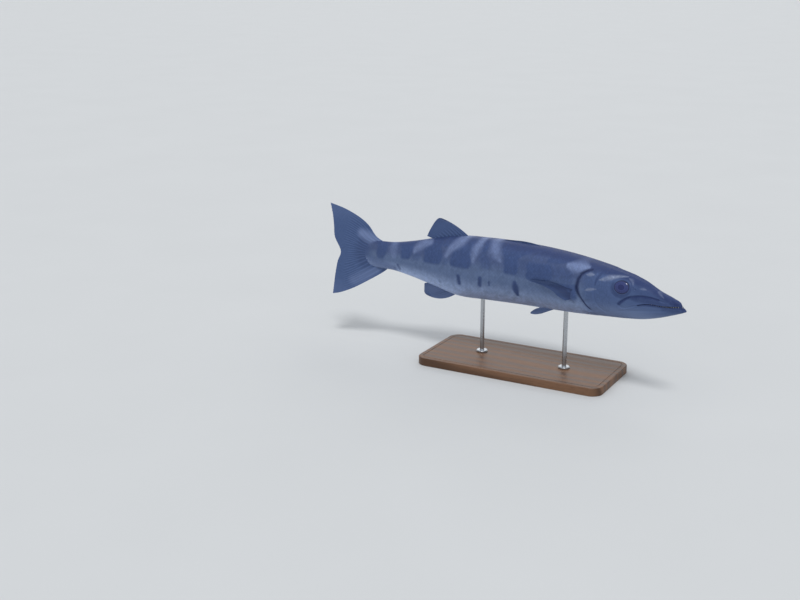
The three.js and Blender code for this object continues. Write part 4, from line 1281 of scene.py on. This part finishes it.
def fin(name, node, centre, masks, rays, across, outwards=44, thick=1.0):
    """A closed blade round a middle surface centre(u, v): u runs over the rays, v from root to edge."""
    u, v = np.meshgrid(np.linspace(0, 1, across), np.linspace(0, 1, outwards), indexing="ij")
    forked, forked_again = soft(0.3, 0.5, v), soft(0.62, 0.8, v)
    phase = u * rays
    branches = ridge(2 * phase) * (1 - forked_again) + ridge(4 * phase) * forked_again
    raised = ridge(phase) * (1 - forked) + branches * forked
    notched = v * (1 - NOTCH * (1 - ridge(2 * phase)) * soft(0.8, 1, v))
    middle = centre(u, notched)
    normal = np.cross(np.gradient(middle, axis=0), np.gradient(middle, axis=1))
    normal /= np.maximum(np.linalg.norm(normal, axis=-1, keepdims=True), 1e-9)
    full = FIN_ROOT + (FIN_EDGE - FIN_ROOT) * np.sqrt(v)
    half = (thick * full * (WEB_SHARE + (1 - WEB_SHARE) * raised) / 2)[..., None]
    points = np.concatenate([(middle + way * normal * half).reshape(-1, 3) for way in (1, -1)])
    size = across * outwards
    grid = np.arange(size).reshape(across, outwards)
    a, b, c, d = grid[:-1, :-1], grid[1:, :-1], grid[1:, 1:], grid[:-1, 1:]
    faces = [np.stack([a, b, c, d], -1).reshape(-1, 4), np.stack([a, d, c, b], -1).reshape(-1, 4) + size]
    border = np.concatenate([grid[:-1, 0], grid[-1, :-1], grid[:0:-1, -1], grid[0, :0:-1]])
    after = np.roll(border, -1)
    faces.append(np.stack([border, border + size, after + size, after], -1))
    piece = make_piece(name, to_world(points), faces, fin_membrane, sharp=50)
    place = -middle[..., 0], middle[..., 2]
    values = {"ray": raised, "reach": v, **masks(u, v, *place)}
    for key, value in values.items():
        put_attribute(piece.data, key, np.concatenate([value.ravel()] * 2))
    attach(piece, "root")
    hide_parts(node)
    return piece


def tail_centre(u, v):
    """Middle surface of the tail fin, its outer rays curved as its two lobes."""
    point = spline(TAIL_ROOT, u) * (1 - v[..., None]) + spline(TAIL_EDGE, u) * v[..., None]
    for lobe, end in ((TAIL_UPPER_LOBE, 0), (TAIL_LOWER_LOBE, 1)):
        root, tip = np.array(TAIL_ROOT[-end]), np.array(TAIL_EDGE[-end])
        chord = root * (1 - v[..., None]) + tip * v[..., None]
        point += (spline(lobe, v) - chord) * ((1 - np.abs(u - end)) ** 3)[..., None]
    return np.stack([-point[..., 0], np.zeros_like(v), point[..., 1]], -1)


def tail_masks(u, v, behind, z):
    """Pale streaks near the root and at the tips, and a dark band round the root."""
    upper = strokes([([[762, 30, 8], [786, 38, 12], [806, 46, 10]], 0.9)], behind, z, 0.8)
    lower = strokes([([[768, -40, 7], [796, -56, 14], [830, -72, 12]], 0.45)], behind, z, 0.8)
    base = strokes([([[800, 20, 18], [804, 0, 22], [800, -20, 18]], 0.4)], behind, z, 0.6)
    tips = 0.2 * soft(60, 100, np.abs(z)) * v
    return {"pale": np.maximum(np.maximum(upper, lower), tips), "dusk": base}


fin("tail_fin_blade", "tail_fin", tail_centre, tail_masks, rays=17, across=273, outwards=64)


def upright(root, edge, bow):
    """Middle surface of a fin in the middle plane, whose front ray bows out."""
    def centre(u, v):
        point = spline(root, u) * (1 - v[..., None]) + spline(edge, u) * v[..., None]
        rise = bow * (1 - u) * 4 * v * (1 - v)
        return np.stack([-point[..., 0], np.zeros_like(v), point[..., 1] + rise], -1)
    return centre


def upper_masks(u, v, behind, z):
    """Dark, and darkest at the free edge in front."""
    return {"pale": np.zeros_like(v), "dusk": 0.15 + 0.3 * soft(0.7, 1, v) * (1 - u)}


def lower_masks(u, v, behind, z):
    """Paler than the fins above, painted light as if lit from below, with a darker free edge in front."""
    return {"pale": 0.42 + 0.1 * np.cos(9 * u), "dusk": 0.25 * soft(0.7, 1, v) * (1 - u)}


def side_masks(u, v, behind, z):
    """Dark at the root, like the painted shadow under it: partly the fin's own dusky tint, partly painted
    shade, as the fin lies in shadow against the body.
    """
    return {"pale": np.zeros_like(v), "dusk": 1.0 - 0.45 * soft(0.3, 0.9, v)}


fin(
    "second_dorsal_blade", "second_dorsal_fin",
    upright(
        [[531, 64], [575, 58.5], [616, 50]], [[603, 101.5], [611, 100.5], [620, 91], [631, 73], [639, 56]], 5
    ),
    upper_masks, rays=10, across=161,
)
fin(
    "anal_fin_blade", "anal_fin",
    upright([[562, -71], [595, -63], [626, -53]], [[640, -84], [645, -79], [645.5, -70], [645, -57]], -11),
    lower_masks, rays=10, across=161,
)
fin(
    "first_dorsal_blade", "first_dorsal_fin",
    upright([[334, 62], [370, 63.5], [414, 65]], [[430, 70], [436, 70.5], [442, 70.2], [446, 69.6]], 5),
    upper_masks, rays=5, across=81,
)


def pectoral(side):
    """Middle surface of a pectoral fin, laid back along the flank."""
    def centre(u, v):
        root = spline([[243, -3], [245, -13], [247, -23]], u)
        edge = spline([[306, 7], [353, 3], [318, -4], [293, -12], [279, -22], [262, -29]], u)
        point = root * (1 - v[..., None]) + edge * v[..., None]
        stand_off = flank(point[..., 0], point[..., 1]) - 1.6 + 6.5 * v
        return np.stack([-point[..., 0], side * stand_off, point[..., 1]], -1)
    return centre


def pelvic(side):
    """Middle surface of a pelvic fin, folded back under the belly."""
    def centre(u, v):
        root = spline([[300, -60], [307, -63], [314, -66.5]], u)
        edge = spline([[344, -66], [356, -72], [368, -83], [356, -84.5], [340, -80]], u)
        point = root * (1 - v[..., None]) + edge * v[..., None]
        return np.stack([-point[..., 0], side * (19 - 6 * u + 2 * v), point[..., 1]], -1)
    return centre


for side, word in ((1, "left"), (-1, "right")):
    fin(
        f"pectoral_blade_{word}", f"pectoral_fin_{word}", pectoral(side), side_masks,
        rays=13, across=157, thick=0.7,
    )
    fin(
        f"pelvic_blade_{word}", f"pelvic_fin_{word}", pelvic(side), lower_masks,
        rays=6, across=97, outwards=40, thick=0.8,
    )

# Stand
# A solid timber board with a rounded top edge and a routed line, two ground steel rods up to the belly,
# and a turned steel collar that holds each rod's foot.
EDGE_RADIUS, FOOT_CHAMFER = 2.0, 1.0
ROUTED_IN, ROUTED_WIDTH, ROUTED_DEPTH = 10.0, 1.6, 0.9
CORNER_RADIUS, CORNER_STEPS = 26, 16
ROD_RADIUS, ROD_SIDES = 5.0, 64
# How far each rod runs on into the board and into the belly
FOOT_SUNK, ROD_SUNK = 0.3, 1.2
ROD_LOOPS = 12
COLLAR_RADIUS, COLLAR_HEIGHT = 13.0, 5.0
QUARTER_TURN = np.linspace(0, math.pi / 2, 7)
# Outline of the collar over the board, from its foot round to its top: radius, level
COLLAR_PROFILE = [
    (ROD_RADIUS + 0.2, 0), (COLLAR_RADIUS - 0.5, 0), (COLLAR_RADIUS, 0.5), (COLLAR_RADIUS, 2.2),
    (COLLAR_RADIUS - 0.6, 2.5), (COLLAR_RADIUS - 0.6, 2.9),
    *((COLLAR_RADIUS - 0.2 - 4.6 * (1 - math.cos(t)), 3.2 + 1.8 * math.sin(t)) for t in QUARTER_TURN),
    (ROD_RADIUS + 0.9, COLLAR_HEIGHT), (ROD_RADIUS + 0.2, COLLAR_HEIGHT - 0.5),
]

# Oiled walnut: planed and sanded, open pores and darker growth lines along the board
walnut, tree = new_material("oiled_walnut")
place = add(tree, "ShaderNodeTexCoord", out="Object")
stretched = add(
    tree, "ShaderNodeMapping", Vector=place, Scale=(1.0, 9.0, 9.0), Rotation=(0, 0, math.radians(3))
)
bands = add(
    tree, "ShaderNodeTexWave", {"wave_type": "BANDS", "bands_direction": "Y"}, out="Fac",
    Vector=stretched, Scale=1.25, Distortion=9.0, Detail=5.0, Detail_Scale=1.1,
)
drawn = add(tree, "ShaderNodeMapping", Vector=place, Scale=(14.0, 420.0, 420.0))
pores = add(tree, "ShaderNodeTexNoise", out="Fac", Vector=drawn, Scale=3.2, Detail=3.0)
colour = add(
    tree, "ShaderNodeMix", {"data_type": "RGBA"},
    Factor_Float=bands, A_Color=linear("#523928"), B_Color=linear("#775740"),
)
pore_line = add(
    tree, "ShaderNodeMapRange", Value=pores, From_Min=0.55, From_Max=0.75, To_Min=0.0, To_Max=0.7
)
colour = add(
    tree, "ShaderNodeMix", {"data_type": "RGBA"},
    Factor_Float=pore_line, A_Color=colour, B_Color=linear("#38271d"),
)
pore_depth = add(tree, "ShaderNodeMath", {"operation": "SUBTRACT"}, Value=1.0, Value_001=pore_line)
bump = add(tree, "ShaderNodeBump", Strength=0.3, Distance=0.2 * MM, Height=pore_depth)
gloss = add(tree, "ShaderNodeMapRange", Value=bands, To_Min=0.36, To_Max=0.5)
add(tree, "ShaderNodeOutputMaterial", Surface=add(
    tree, "ShaderNodeBsdfPrincipled", Base_Color=colour, Roughness=gloss, Normal=bump, IOR=1.48,
    Specular_IOR_Level=0.35,
))

# Ground stainless steel: fine rings round the turned parts
steel, tree = new_material("ground_stainless_steel")
place = add(tree, "ShaderNodeTexCoord", out="Object")
drawn = add(tree, "ShaderNodeMapping", Vector=place, Scale=(20.0, 20.0, 900.0))
lines = add(tree, "ShaderNodeTexNoise", out="Fac", Vector=drawn, Scale=2.0, Detail=2.0)
smear = add(tree, "ShaderNodeTexNoise", out="Fac", Vector=place, Scale=30.0, Detail=3.0)
gloss = add(tree, "ShaderNodeMapRange", Value=smear, From_Min=0.3, From_Max=0.7, To_Min=0.2, To_Max=0.36)
colour = add(
    tree, "ShaderNodeMix", {"data_type": "RGBA"},
    Factor_Float=lines, A_Color=linear("#a9acb0"), B_Color=linear("#c3c6ca"),
)
bump = add(tree, "ShaderNodeBump", Strength=0.12, Distance=0.05 * MM, Height=lines)
add(tree, "ShaderNodeOutputMaterial", Surface=add(
    tree, "ShaderNodeBsdfPrincipled", Base_Color=colour, Metallic=1.0, Roughness=gloss, Normal=bump,
))


def shell(name, loops, material, sharp):
    """A closed piece through a stack of equal loops of points in metres, its ends flat."""
    count = len(loops[0])
    ends = [np.arange(count)[None, ::-1], (len(loops) - 1) * count + np.arange(count)[None]]
    return make_piece(
        name, np.concatenate(loops), [tube_faces(len(loops), count), *ends], material, sharp=sharp
    )


low, high = (np.array(corner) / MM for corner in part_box("stand_base"))
half_length, half_width, top_level = high[0], high[1], high[2]
profile = [(FOOT_CHAMFER, 0), (0, FOOT_CHAMFER)]
profile += [
    (EDGE_RADIUS * (1 - math.cos(t)), top_level - EDGE_RADIUS * (1 - math.sin(t))) for t in QUARTER_TURN
]
profile += [
    (ROUTED_IN + ROUTED_WIDTH / 2 * (1 - math.cos(t)), top_level - ROUTED_DEPTH * math.sin(t))
    for t in np.linspace(0, math.pi, 9)
]


def board_loop(inset, level):
    """The board's outline, drawn in by an inset, at a level."""
    radius = CORNER_RADIUS - inset
    loop = []
    for quarter, (sx, sy) in enumerate(((1, 1), (-1, 1), (-1, -1), (1, -1))):
        turn = (quarter + np.linspace(0, 1, CORNER_STEPS)) * math.pi / 2
        loop.append(np.stack([
            sx * (half_length - CORNER_RADIUS) + radius * np.cos(turn),
            sy * (half_width - CORNER_RADIUS) + radius * np.sin(turn), np.full(CORNER_STEPS, level),
        ], -1))
    return MM * np.concatenate(loop)


board = shell("stand_board", [board_loop(*stop) for stop in profile], walnut, 35)
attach(board, "root")
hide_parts("stand_base")


def turned(x, y, stops):
    """Loops round an upright axis: stops are (radius, level)."""
    turn = np.arange(ROD_SIDES) * 2 * math.pi / ROD_SIDES
    return [
        MM * np.stack([x + radius * np.cos(turn), y + radius * np.sin(turn), np.full(ROD_SIDES, level)], -1)
        for radius, level in stops
    ]


for word in ("front", "rear"):
    low, high = (np.array(corner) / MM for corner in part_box(f"stand_rod_{word}"))
    x, y = (low + high)[:2] / 2
    levels = [low[2] - FOOT_SUNK, *np.linspace(low[2] + 8, high[2], ROD_LOOPS), high[2] + ROD_SUNK]
    rod_stops = [(ROD_RADIUS, level) for level in levels]
    rod = shell(f"stand_bar_{word}", turned(x, y, rod_stops), steel, 40)
    collar_stops = [(radius, top_level + level) for radius, level in COLLAR_PROFILE]
    collar = shell(f"stand_ring_{word}", turned(x, y, collar_stops), steel, 40)
    for piece, node in ((rod, f"stand_rod_{word}"), (collar, f"stand_collar_{word}")):
        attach(piece, "root")
        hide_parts(node)

# Floor, lights and camera
# A plain pale floor under an even sky and two soft lights, one high over the fish's right side and a faint
# one behind, seen from the side of the head and a little above.
FLOOR_SIZE = 90
CAMERA_TARGET_BEHIND = 440
CAMERA_DISTANCE = 2.6901
CAMERA_SIDE, CAMERA_RISE = math.radians(24), math.radians(15)
CAMERA_YAW, CAMERA_PITCH = math.radians(29.236), math.radians(16.478)
LENS, SENSOR = 54, 36

floor_paint, tree = new_material("matt_pale_floor_paint")
place = add(tree, "ShaderNodeTexCoord", out="Object")
cloud = add(tree, "ShaderNodeTexNoise", out="Fac", Vector=place, Scale=3.0, Detail=3.0)
colour = add(
    tree, "ShaderNodeMix", {"data_type": "RGBA"},
    Factor_Float=cloud, A_Color=linear("#cacccd"), B_Color=linear("#ced0d1"),
)
add(tree, "ShaderNodeOutputMaterial", Surface=add(
    tree, "ShaderNodeBsdfPrincipled", Base_Color=colour, Roughness=0.75, IOR=1.45, Specular_IOR_Level=0.15,
))
edge = FLOOR_SIZE / 2
floor_mesh = bpy.data.meshes.new("floor")
corners = [(-edge, -edge, 0), (edge, -edge, 0), (edge, edge, 0), (-edge, edge, 0)]
floor_mesh.from_pydata(corners, [], [(0, 1, 2, 3)])
floor_mesh.materials.append(floor_paint)
floor = bpy.data.objects.new("floor", floor_mesh)
bpy.context.scene.collection.objects.link(floor)

world = bpy.data.worlds.new("studio")
world.use_nodes = True
world.node_tree.nodes.clear()
sky = add(world.node_tree, "ShaderNodeBackground", Color=linear("#e9ecf0"), Strength=0.8)
add(world.node_tree, "ShaderNodeOutputWorld", Surface=sky)
bpy.context.scene.world = world

# Direction towards each soft light, its strength, and how wide it looks from the fish in degrees
LIGHTS = (("key", (0.25, -0.5, 1.0), 1.3, 14), ("rim", (-0.4, 1.0, 0.7), 0.3, 40))
for name, towards, strength, width in LIGHTS:
    lamp = bpy.data.lights.new(name, "SUN")
    lamp.energy, lamp.angle = strength, math.radians(width)
    light = bpy.data.objects.new(name, lamp)
    light.rotation_euler = (-Vector(towards)).to_track_quat("-Z", "Y").to_euler()
    bpy.context.scene.collection.objects.link(light)

target = Vector(to_world(np.array([-CAMERA_TARGET_BEHIND, 0.0, 0.0])))
camera_data = bpy.data.cameras.new("camera")
camera_data.lens, camera_data.sensor_width, camera_data.clip_end = LENS, SENSOR, 200
camera = bpy.data.objects.new("camera", camera_data)
camera.location = target + CAMERA_DISTANCE * Vector((
    math.sin(CAMERA_SIDE) * math.cos(CAMERA_RISE), -math.cos(CAMERA_SIDE) * math.cos(CAMERA_RISE),
    math.sin(CAMERA_RISE),
))
camera.rotation_euler = (math.pi / 2 - CAMERA_PITCH, 0, CAMERA_YAW)
bpy.context.scene.collection.objects.link(camera)
bpy.context.scene.camera = camera
bpy.context.scene.view_settings.view_transform = "Standard"
